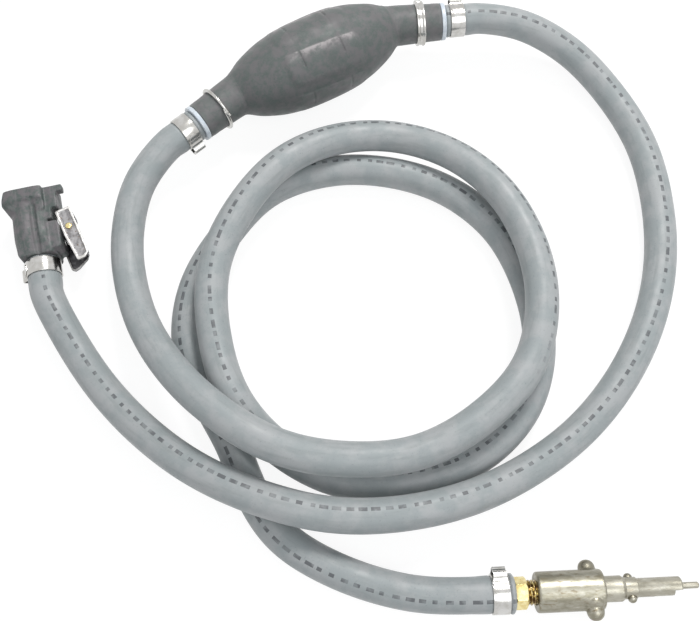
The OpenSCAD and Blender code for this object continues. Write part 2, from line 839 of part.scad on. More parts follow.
module bayonet_barrel() {
  r = barrel_d / 2;
  bevel = 0.8;
  color(nickel) at_bayonet() difference() {
    union() {
      lathe([
        [0, barrel_x], [r - bevel, barrel_x], [r, barrel_x + bevel],
        [r, barrel_end - bevel], [r - bevel, barrel_end], [0, barrel_end]
      ]);
      // Two thumb lugs across the barrel
      translate([lug_x, 0, 0]) rotate([-lug_tilt, 0, 0]) for (s = [-1, 1]) rotate([90 * s, 0, 0]) {
        cylinder(d = lug_d, h = lug_reach - lug_d / 2);
        translate([0, 0, lug_reach - lug_d / 2]) sphere(d = lug_d);
      }
    }
    rod(thread_d / 2 + slide_gap, barrel_x - cut_over, barrel_x + thread_in + 0.5);
    rod(nozzle_flange_r + stop_gap, barrel_x + thread_in + 0.4, nozzle_x + nozzle_flange_t + stop_gap);
    rod(collar_d / 2 + slide_gap, nozzle_x + 1, barrel_end + cut_over);
  }
}

module bayonet_nozzle() {
  collar_r = collar_d / 2;
  land_r = land_d / 2;
  plug_r = plug_d / 2;
  color(nickel) at_bayonet() difference() {
    lathe([
      [0, nozzle_x], [nozzle_flange_r, nozzle_x], [nozzle_flange_r, nozzle_x + nozzle_flange_t],
      [collar_r, nozzle_x + nozzle_flange_t], [collar_r, collar_end - collar_bevel],
      [land_r, collar_end], [land_r, land_end], [plug_r, land_end], [plug_r, plug_end], [0, plug_end]
    ]);
    rod(nozzle_chamber_r, nozzle_x - cut_over, nozzle_shoulder_x);
    rod(needle_r + 0.8, nozzle_x, plug_end - needle_guide);
    rod(needle_r + slide_gap, plug_end - needle_guide - cut_over, plug_end + cut_over);
    // Fuel slot and the cut-away tip, towards -Y
    rotate([-90, 0, 0]) {
      translate([plug_end - slot_len, -slot_w / 2, -plug_d]) cube([slot_len + cut_over, slot_w, plug_d]);
      translate([plug_end - tip_cut, -plug_d, -plug_d - needle_r - 0.4])
        cube([tip_cut + cut_over, 2 * plug_d, plug_d]);
    }
    // Seats of the locking studs
    translate([stud_x, 0, 0]) rotate([-lug_tilt, 0, 0]) for (s = [-1, 1]) rotate([90 * s, 0, 0])
      translate([0, 0, land_r - stud_seat]) cylinder(d = stud_d, h = stud_reach);
  }
}

module bayonet_lock_studs() {
  stud_z = stud_reach - stud_d / 2;
  foot_z = land_d / 2 - stud_seat;
  color(nickel) at_bayonet() translate([stud_x, 0, 0]) rotate([-lug_tilt, 0, 0])
    for (s = [-1, 1]) rotate([90 * s, 0, 0]) {
      translate([0, 0, foot_z]) cylinder(d = stud_d, h = stud_z - foot_z);
      intersection() {
        translate([0, 0, stud_z]) sphere(d = stud_d);
        translate([0, 0, foot_z]) cylinder(d = 2 * stud_d, h = stud_reach);
      }
    }
}

needle_head_x = nozzle_shoulder_x - seat_gap - seal_wire - needle_head_t;
needle_tip_x = plug_end + needle_out;
needle_point = 0.5;

module bayonet_needle() {
  color(nickel) at_bayonet() {
    rod(nozzle_chamber_r - 0.5, needle_head_x, needle_head_x + needle_head_t);
    rod(needle_r, needle_head_x, needle_tip_x - needle_point);
    cone(needle_r, needle_r - needle_point, needle_tip_x - needle_point, needle_tip_x);
    // Tail that meets the clip when the needle is pushed in
    fins(inside_spring(needle_spring_r, needle_wire),
      nozzle_x + clip_t + needle_travel + stop_gap, needle_head_x + 0.1);
  }
}

module needle_seal() {
  color(rubber_black) at_bayonet()
    torus(needle_r + seal_wire / 2, seal_wire / 2, needle_head_x + needle_head_t + seal_wire / 2);
}

module needle_spring() {
  color(steel) at_bayonet() spring(needle_spring_r, needle_wire, nozzle_x + clip_t, needle_head_x, 6);
}

module needle_spring_clip() {
  color(steel) at_bayonet() difference() {
    rod(nozzle_chamber_r, nozzle_x, nozzle_x + clip_t);
    rod(clip_hole_r, nozzle_x - cut_over, nozzle_x + clip_t + cut_over);
  }
}

primer_bulb();
inlet_barb_fitting();
inlet_valve_disc();
inlet_valve_spring();
inlet_valve_cage();
outlet_barb_fitting();
outlet_valve_disc();
outlet_valve_spring();
outlet_valve_seat();
inlet_neck_ring();
outlet_neck_band();
inlet_hose_clamp();
outlet_hose_clamp();
tank_hose();
engine_hose();
connector_hose_clamp();
connector_body();
connector_barb();
port_valve();
port_valve_spring();
port_seal();
latch_lever();
latch_rivet();
latch_spring();
bayonet_hose_clamp();
bayonet_barb();
bayonet_barrel();
bayonet_nozzle();
bayonet_lock_studs();
bayonet_needle();
needle_seal();
needle_spring();
needle_spring_clip();
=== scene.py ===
import math

import bmesh
import bpy
import numpy as np
from mathutils import Matrix, Vector


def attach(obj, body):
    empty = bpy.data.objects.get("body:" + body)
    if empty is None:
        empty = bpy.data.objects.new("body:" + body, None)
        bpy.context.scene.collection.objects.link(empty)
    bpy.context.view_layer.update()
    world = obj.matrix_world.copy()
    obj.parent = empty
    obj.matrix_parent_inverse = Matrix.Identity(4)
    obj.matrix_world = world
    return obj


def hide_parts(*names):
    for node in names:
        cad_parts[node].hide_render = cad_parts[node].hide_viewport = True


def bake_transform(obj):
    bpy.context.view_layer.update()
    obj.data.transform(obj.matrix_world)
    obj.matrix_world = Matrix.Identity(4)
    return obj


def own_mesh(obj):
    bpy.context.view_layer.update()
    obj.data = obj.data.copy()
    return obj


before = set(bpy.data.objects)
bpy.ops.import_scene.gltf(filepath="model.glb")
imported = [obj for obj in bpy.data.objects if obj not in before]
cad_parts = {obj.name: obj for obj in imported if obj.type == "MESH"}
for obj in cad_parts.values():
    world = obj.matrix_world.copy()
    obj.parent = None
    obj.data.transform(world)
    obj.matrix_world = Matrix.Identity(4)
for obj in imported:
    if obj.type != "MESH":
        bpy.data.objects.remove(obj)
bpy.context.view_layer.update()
TAU = 2 * math.pi


# ---------- sizes that several pieces share, in millimetres ----------

# The bulb: half its body's length, its middle's height and radius, its necks' radii, lengths and bends
HALF, BULB_Z, BULB_R, ROOT_R, NECK_R, NECK_BORE_R = 43.5, 22, 22, 10.5, 9.3, 7.1
INLET_NECK, INLET_BEND, OUTLET_NECK, OUTLET_BEND = 25, 13, 27.5, 22
# The gap between a neck and what sits on it, and the thickness of a barb fitting's flange
SEAT_GAP, FLANGE_T = 0.1, 2.2
# The hose, the barbs in it, and the clamps round it with their distances from its ends
HOSE_R, BORE_R, BARB_LEN, BARB_BORE_R = 7.75, 4.75, 18, 3.2
CLAMP_W, CLAMP_T, CLAMP_AT, CONN_CLAMP_AT = 7.5, 0.8, 2.6, 1.2
# The latch's pivot on the connector. The bayonet's barrel, where its lugs and studs are and their turn
PIVOT_X, PIVOT_Y = 12.5, -15.9
BARREL_R, LUG_X, STUD_X, LUG_TURN = 8.65, 33.4, 50.4, -20


# ---------- frames: each turns a piece's own millimetres into metres on the part ----------


def shifted(base, offset, turn=0.0):
    return base @ Matrix.Translation(offset) @ Matrix.Rotation(math.radians(turn), 4, "Z")


PART = Matrix.Scale(0.001, 4)
INLET = shifted(PART, (-HALF, 0, BULB_Z), 180 + INLET_BEND)
OUTLET = shifted(PART, (HALF, 0, BULB_Z), -OUTLET_BEND)
INLET_FACE = shifted(INLET, (INLET_NECK + SEAT_GAP, 0, 0))
OUTLET_FACE = shifted(OUTLET, (OUTLET_NECK + SEAT_GAP, 0, 0))
CONNECTOR = shifted(PART, (-166.9, -34.3, 13), 75)
LATCH = shifted(CONNECTOR, (PIVOT_X, PIVOT_Y, 0), 12.8)
BAYONET = shifted(PART, (-46.1, -274.2, BARREL_R), -25.7)


def direction(base):
    """Which way a frame's X points on the part."""
    return (base.to_3x3() @ Vector((1, 0, 0))).normalized()


# ---------- camera ----------


def aimed(name, data, place, aim):
    """Stands a camera or a light at a place, so that it looks at its aim."""
    ob = bpy.data.objects.new(name, data)
    bpy.context.scene.collection.objects.link(ob)
    ob.location = place
    ob.rotation_mode = "QUATERNION"
    ob.rotation_quaternion = (Vector(aim) - Vector(place)).to_track_quat("-Z", "Y")
    return ob


def make_camera():
    data = bpy.data.cameras.new("camera")
    data.lens, data.sensor_width, data.sensor_fit = 46.286, 36, "HORIZONTAL"
    data.clip_start, data.clip_end = 0.01, 20
    bpy.context.scene.camera = aimed("camera", data, (-0.1170, -0.2566, 0.4156), (-0.0454, -0.1234, 0))


make_camera()


# ---------- shapes, as (points, faces) in millimetres ----------


def ring(x, r, count):
    """A circle round X that starts at the top and goes round by the viewer's side."""
    turns = [TAU * j / count for j in range(count)]
    return [(x, -r * math.sin(t), r * math.cos(t)) for t in turns]


def soft(points, closed=False, steps=4):
    """Rounds each corner that comes with a third number, its radius."""
    out = []
    for i, p in enumerate(points):
        here = Vector(p[:2])
        if len(p) < 3 or (not closed and i in (0, len(points) - 1)):
            out.append(tuple(here))
            continue
        a = Vector(points[i - 1][:2]) - here
        b = Vector(points[(i + 1) % len(points)][:2]) - here
        reach = p[2] / max(math.tan(a.angle(b) / 2), 1e-3)
        reach = min(reach, 0.48 * a.length, 0.48 * b.length)
        a, b = here + a.normalized() * reach, here + b.normalized() * reach
        for k in range(steps + 1):
            t = k / steps
            out.append(tuple((1 - t) ** 2 * a + 2 * t * (1 - t) * here + t * t * b))
    return out


def rounded(outline, radius, steps=4):
    """A closed outline with all its corners rounded alike."""
    return soft([(*p, radius) for p in outline], True, steps)


def lathe(profile, count, closed=False):
    """Turns (x, r) points round X. An open profile starts and ends on the axis."""
    points, rings = [], []
    for x, r in profile:
        start = len(points)
        points += [(x, 0, 0)] if r < 1e-6 else ring(x, r, count)
        rings.append(range(start, len(points)))
    faces = []
    for a, b in zip(rings, rings[1:] + rings[:1] if closed else rings[1:]):
        for j in range(count):
            k = (j + 1) % count
            face = [a[j % len(a)], b[j % len(b)], b[k % len(b)], a[k % len(a)]]
            face = list(dict.fromkeys(face))
            if len(face) > 2:
                faces.append(face)
    return points, faces


def hollow(profile, count, steps=4):
    """Turns a closed profile round X, with its corners rounded as soft rounds them."""
    return lathe(soft(profile, True, steps), count, True)


def skin(rows, count, closed=False):
    """The faces between rows of points. closed also joins the last row to the first."""
    faces = []
    for i in range(rows if closed else rows - 1):
        a, b = i * count, (i + 1) % rows * count
        for j in range(count):
            k = (j + 1) % count
            faces.append((a + j, a + k, b + k, b + j))
    return faces


def lids(rows, count):
    """Flat faces over the first and the last row."""
    last = (rows - 1) * count
    return [list(range(count - 1, -1, -1)), list(range(last, last + count))]


def prism(outline, z0, z1):
    n = len(outline)
    return [(x, y, z) for z in (z0, z1) for x, y in outline], lids(2, n) + skin(2, n)


def bar(outline, x0, x1):
    """A prism along X, from an outline of (y, z) points."""
    points, faces = prism(outline, x0, x1)
    return [(z, x, y) for x, y, z in points], faces


def disc(x, y, r, count=40):
    return [(x + r * math.cos(TAU * i / count), y + r * math.sin(TAU * i / count)) for i in range(count)]


def oblong(x0, x1, y0, y1):
    return [(x0, y0), (x1, y0), (x1, y1), (x0, y1)]


def slab(x0, x1, y0, y1, z0, z1):
    return prism(oblong(x0, x1, y0, y1), z0, z1)


def turned(shape, axis, degrees, shift=(0, 0, 0)):
    m = Matrix.Translation(shift) @ Matrix.Rotation(math.radians(degrees), 4, axis)
    return [tuple(m @ Vector(p)) for p in shape[0]], shape[1]


def joined(*shapes):
    points, faces = [], []
    for p, f in shapes:
        faces += [[i + len(points) for i in face] for face in f]
        points += p
    return points, faces


def tube(path, radii, sides):
    """A round bar along a path, whose rings turn as little as they can."""
    path = [Vector(p) for p in path]
    rows = len(path)
    radii = radii if hasattr(radii, "__len__") else [radii] * rows
    points, side = [], None
    for i, p in enumerate(path):
        t = (path[min(i + 1, rows - 1)] - path[max(i - 1, 0)]).normalized()
        side = t.orthogonal() if side is None else side - t * side.dot(t)
        side.normalize()
        up = side.cross(t)
        for j in range(sides):
            a = TAU * j / sides
            points.append(tuple(p + radii[i] * (math.cos(a) * side + math.sin(a) * up)))
    return points, skin(rows, sides) + lids(rows, sides)


def between(a, b, start, stop, at):
    return a + (b - a) * (at - start) / (stop - start)


def smooth_line(points, step):
    """A Catmull-Rom line through the points, with its points about step apart."""
    p = [np.array(q, float) for q in points]
    p = [2 * p[0] - p[1], *p, 2 * p[-1] - p[-2]]
    out = []
    for a, b, c, d in zip(p, p[1:], p[2:], p[3:]):
        t = np.cumsum([0] + [np.linalg.norm(v - u) ** 0.5 for u, v in ((a, b), (b, c), (c, d))])
        count = max(1, round(np.linalg.norm(c - b) / step))
        for s in np.linspace(t[1], t[2], count, endpoint=False):
            legs = [between(u, v, t[i], t[i + 1], s) for i, (u, v) in enumerate(((a, b), (b, c), (c, d)))]
            first, second = (between(legs[i], legs[i + 1], t[i], t[i + 2], s) for i in (0, 1))
            out.append(between(first, second, t[1], t[2], s))
    return np.array(out + [p[-2]])


def smooth_profile(points):
    """A lathe's profile that starts at a corner and runs smoothly through its other points."""
    line = smooth_line([(x, r, 0) for x, r in points[1:]], 0.5)
    return [points[0]] + [(float(p[0]), max(float(p[1]), 0)) for p in line]


def units(rows):
    return rows / np.linalg.norm(rows, axis=1)[:, None]


def smoothstep(a, b, x):
    t = np.clip((np.asarray(x, float) - a) / (b - a), 0, 1)
    return t * t * (3 - 2 * t)


# ---------- objects ----------


def make(name, shape):
    mesh = bpy.data.meshes.new(name)
    mesh.from_pydata(shape[0], [], shape[1])
    bm = bmesh.new()
    bm.from_mesh(mesh)
    bmesh.ops.recalc_face_normals(bm, faces=bm.faces)
    bm.to_mesh(mesh)
    bm.free()
    ob = bpy.data.objects.new(name, mesh)
    bpy.context.scene.collection.objects.link(ob)
    return ob


def apply_modifiers(ob):
    bpy.context.view_layer.update()
    done = bpy.data.meshes.new_from_object(ob.evaluated_get(bpy.context.evaluated_depsgraph_get()))
    ob.modifiers.clear()
    ob.data = done
    return ob


def taken_from(ob):
    """The object's mesh as a shape. The object goes."""
    shape = [tuple(v.co) for v in ob.data.vertices], [list(f.vertices) for f in ob.data.polygons]
    bpy.data.objects.remove(ob)
    return shape


def combine(ob, how, *shapes):
    """Boolean of ob with one shape after the other."""
    for shape in shapes:
        other = make("other", shape)
        m = ob.modifiers.new("combine", "BOOLEAN")
        m.operation, m.object, m.solver = how, other, "EXACT"
        apply_modifiers(ob)
        bpy.data.objects.remove(other)


def cut(ob, *shapes):
    combine(ob, "DIFFERENCE", *shapes)


def cast(ob, voxel, passes):
    """Melts overlapping shells into one skin with soft edges, as a mould leaves it."""
    m = ob.modifiers.new("remesh", "REMESH")
    m.mode, m.voxel_size, m.adaptivity = "VOXEL", voxel, 0
    m = ob.modifiers.new("smooth", "SMOOTH")
    m.factor, m.iterations = 0.5, passes
    return apply_modifiers(ob)


def bevel(ob, width, angle):
    """Rounds the edges that turn by more than the angle."""
    m = ob.modifiers.new("bevel", "BEVEL")
    m.width, m.segments, m.limit_method, m.angle_limit = width, 2, "ANGLE", math.radians(angle)
    return apply_modifiers(ob)


def mark(mesh, name, values):
    """Gives each point of the mesh a number that its material reads."""
    data = mesh.attributes.new(name, "FLOAT", "POINT").data
    data.foreach_set("value", np.asarray(values, np.float32))


def dress(ob, look):
    ob.data.materials.clear()
    ob.data.materials.append(look.material)


def settle(ob, base, look, node, body="root", angle=35):
    """Puts a finished piece on the part in a CAD node's place. Its own coordinates stay for its material."""
    mesh = ob.data
    own = np.zeros(len(mesh.vertices) * 3, np.float32)
    mesh.vertices.foreach_get("co", own)
    mesh.attributes.new("own", "FLOAT_VECTOR", "POINT").data.foreach_set("vector", own)
    mesh.transform(base)
    mesh.shade_smooth()
    mesh.set_sharp_from_angle(angle=math.radians(angle))
    if body:
        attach(ob, body)
    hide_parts(node)
    dress(ob, look)


# ---------- materials ----------


def put(socket, value):
    if isinstance(value, bpy.types.NodeSocket):
        socket.id_data.links.new(value, socket)
    else:
        socket.default_value = value


def add_node(tree, kind, inputs=None, **settings):
    node = tree.nodes.new(kind)
    for key, value in settings.items():
        setattr(node, key, value)
    for key, value in (inputs or {}).items():
        put(node.inputs[key], value)
    return node


def cleared(owner):
    """The empty node tree of a material or a world."""
    owner.use_nodes = True
    owner.node_tree.nodes.clear()
    return owner.node_tree


class Look:
    """A node material. Patterns read the piece's own millimetres, or the part's for CAD nodes. slot is
    the record's slot where it isn't the name; it is kept but not used."""

    def __init__(self, name, slot=None, own=True, **values):
        self.slot = slot or name
        self.material = bpy.data.materials.new(name)
        self.tree = cleared(self.material)
        self.shader = self.add("ShaderNodeBsdfPrincipled")
        self.add("ShaderNodeOutputMaterial", {"Surface": self.shader.outputs[0]})
        for key, value in values.items():
            self.shader.inputs[key.replace("_", " ")].default_value = value
        if own:
            self.at = self.add("ShaderNodeAttribute", attribute_name="own").outputs["Vector"]
        else:
            place = self.add("ShaderNodeTexCoord").outputs["Object"]
            self.at = self.scaled(place, (1000, 1000, 1000))

    def add(self, kind, inputs=None, **settings):
        return add_node(self.tree, kind, inputs, **settings)

    def scaled(self, vector, by):
        return self.add("ShaderNodeVectorMath", {0: vector, 1: by}, operation="MULTIPLY").outputs[0]

    def math(self, how, a, b=0.0):
        return self.add("ShaderNodeMath", {0: a, 1: b}, operation=how).outputs[0]

    def axis(self, vector, i):
        """One coordinate of a vector: 0, 1 or 2."""
        return self.add("ShaderNodeSeparateXYZ", {0: vector}).outputs[i]

    def noise(self, size, detail=2.0, rough=0.5, stretch=(1, 1, 1), at=None):
        """Noise with features about size millimetres across."""
        at = self.scaled(self.at if at is None else at, tuple(s / size for s in stretch))
        node = self.add(
            "ShaderNodeTexNoise", {"Vector": at, "Scale": 1.0, "Detail": detail, "Roughness": rough}
        )
        return node.outputs["Fac"]

    def spread(self, value, low, high, to_low=0.0, to_high=1.0):
        """Maps low..high of a value to a smooth to_low..to_high."""
        inputs = {
            "Value": value, "From Min": low, "From Max": high, "To Min": to_low, "To Max": to_high
        }
        return self.add("ShaderNodeMapRange", inputs, interpolation_type="SMOOTHSTEP").outputs[0]

    def varied(self, size, low, high, detail=3):
        """A value that drifts between low and high in patches about size millimetres across."""
        return self.spread(self.noise(size, detail), 0.3, 0.7, low, high)

    def mix(self, share, a, b):
        a, b = (v if isinstance(v, bpy.types.NodeSocket) else (*v, 1) for v in (a, b))
        return self.add("ShaderNodeMix", {0: share, 6: a, 7: b}, data_type="RGBA").outputs[2]

    def blotched(self, colour, over, noise, climb, share=1.0, **where):
        """Lays another colour over in blotches, where a noise climbs from low to high. noise is its size,
        detail and roughness."""
        blotches = self.spread(self.noise(*noise, **where), *climb, 0, share)
        return self.mix(blotches, colour, over)

    def attribute(self, name):
        return self.add("ShaderNodeAttribute", attribute_name=name).outputs["Fac"]

    def bump(self, height, depth, under=None):
        """depth is in millimetres."""
        inputs = {"Height": height, "Distance": depth / 1000, "Strength": 1.0}
        if under is not None:
            inputs["Normal"] = under
        return self.add("ShaderNodeBump", inputs).outputs[0]

    def bumps(self, *layers):
        """A bumpy surface from layers of noise, each with its depth, size, detail and roughness."""
        normal = None
        for depth, *noise in layers:
            normal = self.bump(self.noise(*noise), depth, normal)
        return normal

    def finish(self, colour, rough, normal):
        for name, value in (("Base Color", colour), ("Roughness", rough), ("Normal", normal)):
            put(self.shader.inputs[name], value)
        return self


def bulb_rubber():
    """Matt black rubber gone grey: olive and purplish clouds, fine grain, and paler edges that are partly
    rubbed wear and partly a painted highlight.
    """
    k = Look("bulb_rubber", Specular_IOR_Level=0.4, Sheen_Weight=0.12, Sheen_Roughness=0.5)
    clouds = k.blotched((0.083, 0.105, 0.098), (0.128, 0.125, 0.129), (5, 5, 0.7), (0.40, 0.60))
    grained = k.blotched(clouds, (0.128, 0.130, 0.132), (0.9, 3, 0.7), (0.3, 0.75), 0.5)
    patchy = k.spread(k.noise(4.5, 3, 0.65), 0.38, 0.62, 0.25, 1)
    # Paler on the panel edges: wear, and a painted highlight
    worn_and_highlighted = k.math("MULTIPLY", k.attribute("edge_wear_and_highlight"), patchy)
    colour = k.mix(worn_and_highlighted, grained, (0.37, 0.345, 0.35))
    return k.finish(colour, k.varied(6, 0.46, 0.66), k.bumps((0.08, 3.5, 3, 0.6), (0.05, 0.45, 3, 0.6)))


# The printed dashes: one in each step, their width, and the share of the step that they fill
DASH_STEP, DASH_WIDTH, DASH_SHARE = 5.6, 1.7, (0.34, 0.74)


def hose_rubber():
    """Hose cover: a mottled blue-grey skin with a printed row of plain dashes along it."""
    k = Look("hose_rubber", Specular_IOR_Level=0.42, Sheen_Weight=0.1, Sheen_Roughness=0.4)
    uv = k.add("ShaderNodeUVMap", uv_map="hose").outputs[0]
    along, across = k.axis(uv, 0), k.axis(uv, 1)
    clouds = k.blotched((0.300, 0.330, 0.338), (0.362, 0.378, 0.386), (12, 4, 0.65), (0.38, 0.62))
    drawn = {"at": uv, "stretch": (0.12, 1, 1)}
    streaked = k.blotched(clouds, (0.225, 0.250, 0.250), (3, 3, 0.6), (0.48, 0.72), 0.4, **drawn)
    grime_and_painted_shade = k.blotched(streaked, (0.16, 0.17, 0.17), (0.9, 3, 0.7), (0.58, 0.72), 0.35)
    steps = k.math("DIVIDE", along, DASH_STEP)
    cell = k.math("FLOOR", steps)
    chance = k.add("ShaderNodeTexWhiteNoise", {"W": cell}, noise_dimensions="1D").outputs["Value"]
    length = k.spread(chance, 0, 1, *DASH_SHARE)
    in_dash = k.math("LESS_THAN", k.math("SUBTRACT", steps, cell), length)
    in_row = k.math("LESS_THAN", k.math("ABSOLUTE", across), DASH_WIDTH / 2)
    ink = k.math("MULTIPLY", k.math("MULTIPLY", in_dash, in_row), k.attribute("print"))
    rubbed = k.spread(k.noise(3.5, 2, 0.5), 0.35, 0.60, 0.45, 0.85)
    colour = k.mix(k.math("MULTIPLY", ink, rubbed), grime_and_painted_shade, (0.075, 0.080, 0.088))
    return k.finish(colour, k.varied(8, 0.40, 0.56), k.bumps((0.10, 6), (0.035, 0.6, 3, 0.6)))


def seal_rubber():
    k = Look("seal_rubber", own=False, Specular_IOR_Level=0.5)
    colour = k.mix(k.noise(1.5, 3), (0.020, 0.020, 0.021), (0.040, 0.040, 0.041))
    return k.finish(colour, k.varied(1, 0.30, 0.42, 2), k.bumps((0.02, 0.5)))


def white_acetal():
    k = Look("white_acetal", Specular_IOR_Level=0.5)
    milky = k.blotched((0.56, 0.62, 0.69), (0.70, 0.75, 0.80), (5, 3, 0.6), (0.35, 0.65))
    dirty = k.blotched(milky, (0.38, 0.40, 0.42), (1.6, 3, 0.7), (0.52, 0.70), 0.45)
    return k.finish(dirty, k.varied(3, 0.28, 0.42, 2), k.bumps((0.03, 0.8, 3)))


def black_plastic():
    """Glass-filled black plastic, faded to a mottled grey with lighter flow lines along it."""
    k = Look("black_plastic", Specular_IOR_Level=0.45)
    tint = k.blotched((0.070, 0.090, 0.084), (0.132, 0.122, 0.130), (4, 5, 0.7), (0.40, 0.60))
    lined = k.blotched(tint, (0.175, 0.170, 0.176), (2.6, 3, 0.6), (0.45, 0.72), 0.55, stretch=(0.15, 1, 1))
    dusty = k.blotched(lined, (0.24, 0.24, 0.23), (0.6, 3, 0.7), (0.60, 0.76), 0.4)
    return k.finish(dusty, k.varied(5, 0.42, 0.60), k.bumps((0.06, 3), (0.05, 0.4, 3, 0.6)))


def stainless(name="stainless", own=True, stretch=(1, 0.05, 0.05)):
    """Rolled strip: fine lines run round the clamp, with a few dull brown stains."""
    k = Look(name, "stainless", own, Metallic=1.0)
    lines = k.noise(0.35, 3, 0.6, stretch=stretch)
    clouds = k.blotched((0.48, 0.47, 0.445), (0.59, 0.585, 0.57), (4.5, 2, 0.5), (0.35, 0.65))
    stained = k.blotched(clouds, (0.28, 0.25, 0.21), (1.8, 3, 0.6), (0.62, 0.78), 0.4)
    rough = k.spread(lines, 0.3, 0.7, 0.17, 0.20)
    return k.finish(stained, rough, k.bump(lines, 0.002, k.bumps((0.02, 4))))


# The lever's own heights where one tone gives way to the next: floor, lip, sheet, tray and rim. The floor
# and sheet hold painted shade, and the rim is partly a painted highlight
LEVER_STEPS = (-5.3, -5.05), (-4.8, -4.5), (5.9, 6.1), (6.42, 6.6)


def lever_steel():
    """The tray is dull with brown spots. Its rim is paler, cleaner metal that also carries a painted
    highlight. The sheet carries painted shade, and the floor painted shadow with some dirt.
    """
    k = Look("lever_steel", "stainless", Metallic=1.0)
    cloudy = k.spread(k.noise(2.4, 3, 0.6), 0.38, 0.62)
    tray = k.mix(cloudy, (0.22, 0.215, 0.22), (0.38, 0.375, 0.38))
    tray = k.blotched(tray, (0.16, 0.12, 0.09), (1.5, 3, 0.65), (0.56, 0.68), 0.8)
    rim = k.mix(cloudy, (0.55, 0.54, 0.52), (0.78, 0.77, 0.76))
    sheet = k.mix(cloudy, (0.13, 0.13, 0.13), (0.27, 0.27, 0.27))
    colour = k.mix(cloudy, (0.10, 0.10, 0.105), (0.19, 0.19, 0.20))
    # Painted shade on the sheet and floor, a painted highlight on the rim; the lip is painted lighter, out
    # of that shadow, halfway between sheet and rim
    for step, above in zip(LEVER_STEPS, (k.mix(0.5, sheet, rim), sheet, tray, rim)):
        colour = k.mix(k.spread(k.axis(k.at, 2), *step), colour, above)
    return k.finish(colour, k.varied(2, 0.34, 0.52), k.bumps((0.012, 0.5, 3, 0.6)))


def spring_steel():
    k = Look("spring_steel", own=False, Metallic=1.0)
    colour = k.mix(k.noise(1.2, 3), (0.50, 0.50, 0.50), (0.66, 0.66, 0.65))
    return k.finish(colour, k.varied(0.6, 0.22, 0.38), k.bumps((0.01, 0.3)))


def brass(name="brass", own=True, cut_from=None):
    """cut_from is where a thread starts: from there on the brass is darkened in patches."""
    k = Look(name, "brass", own, Metallic=1.0)
    clouds = k.blotched((0.70, 0.56, 0.24), (0.84, 0.74, 0.40), (2.2, 3, 0.6), (0.35, 0.65))
    colour = k.blotched(clouds, (0.36, 0.25, 0.10), (0.9, 3, 0.7), (0.58, 0.76), 0.6)
    if cut_from is not None:
        patchy = k.spread(k.noise(1.5, 3, 0.6), 0.42, 0.60, 0.96, 0.25)
        dark = k.math("MULTIPLY", k.spread(k.axis(k.at, 0), cut_from, cut_from + 0.2), patchy)
        colour = k.mix(dark, colour, (0.14, 0.085, 0.045))
    turned_lines = k.noise(0.22, 2, 0.5, stretch=(1, 0.04, 0.04))
    return k.finish(colour, k.varied(1.8, 0.20, 0.36), k.bump(turned_lines, 0.01, k.bumps((0.04, 1.4))))


def worn_nickel(name="worn_nickel", cast_skin=1.0, pale=0.0):
    """Nickel plate gone warm and dull: brown stains drawn out lengthwise, pits, and painted shade that
    darkens the underside.
    """
    k = Look(name, "worn_nickel", Metallic=0.95)
    drawn = (0.35, 1, 1)
    dull, paler = (0.25, 0.235, 0.18), (0.38, 0.365, 0.305)
    plate = k.blotched(dull, paler, (3.2, 4, 0.65), (0.36, 0.64), stretch=drawn)
    stained = k.blotched(plate, (0.19, 0.15, 0.09), (1.5, 4, 0.7), (0.53, 0.68), 0.75, stretch=drawn)
    rubbed = k.blotched(stained, (0.56, 0.55, 0.50), (2.6, 3, 0.6), (0.58, 0.74), 0.6, stretch=drawn)
    # Painted shade: darker towards the bottom, less so on turned parts, where cast_skin is smaller
    grime_and_painted_shade = k.mix(k.spread(k.axis(k.at, 2), -3, 5, 0.7 * cast_skin, 0), rubbed, (0.17, 0.155, 0.115))
    colour = k.mix(pale, grime_and_painted_shade, (0.62, 0.60, 0.53))
    pits = k.spread(k.noise(0.55, 3, 0.6), 0.28, 0.42)
    rough = k.math("ADD", k.varied(2.2, 0.30, 0.42), k.spread(pits, 0, 1, 0.12, 0))
    return k.finish(colour, rough, k.bump(pits, 0.03 * cast_skin, k.bumps((0.035 * cast_skin, 2.4, 3, 0.6))))


BULB, HOSE, SEAL, ACETAL = bulb_rubber(), hose_rubber(), seal_rubber(), white_acetal()
BLACK, STEEL, SPRING, BRASS = black_plastic(), stainless(), spring_steel(), brass()
NICKEL = worn_nickel()
LEVER_STEEL, THREAD_BRASS = lever_steel(), brass("threaded_brass", cut_from=5.3)
NICKEL_TURNED = worn_nickel("turned_nickel", cast_skin=0.45, pale=0.25)
CAD_STEEL = stainless("cad_stainless", own=False, stretch=(1, 1, 1))
CAD_BRASS = brass("cad_brass", own=False)


# ---------- hoses ----------

TANK_ROUTE = [
    (-109, -22, 20), (-127, -47, 17), (-136, -81, 20), (-135, -113, 29), (-126, -145, 37),
    (-109, -174, 38), (-85, -192, 31), (-55, -204, 27), (-23, -204, 27), (9, -193, 27),
    (31, -169, 27), (42, -141, 26), (44, -110, 24), (35, -81, 21), (15, -57, 18),
    (-13, -46, 21), (-43, -48, 26), (-72, -61, 26), (-96, -82, 25), (-110, -112, 24),
    (-115, -144, 24), (-107, -172, 15), (-88, -197, 8), (-59, -212, 8), (-27, -216, 8),
    (3, -206, 8), (25, -183, 8), (36, -154, 8), (38, -122, 8), (27, -92, 8),
    (6, -69, 8), (-21, -54, 8), (-53, -50, 8), (-83, -62, 8), (-108, -80, 8),
    (-123, -105, 8), (-126, -132, 8), (-125, -158, 8), (-127, -181, 8), (-124, -205, 8),
    (-108, -231, 8), (-84, -254, 8),
]
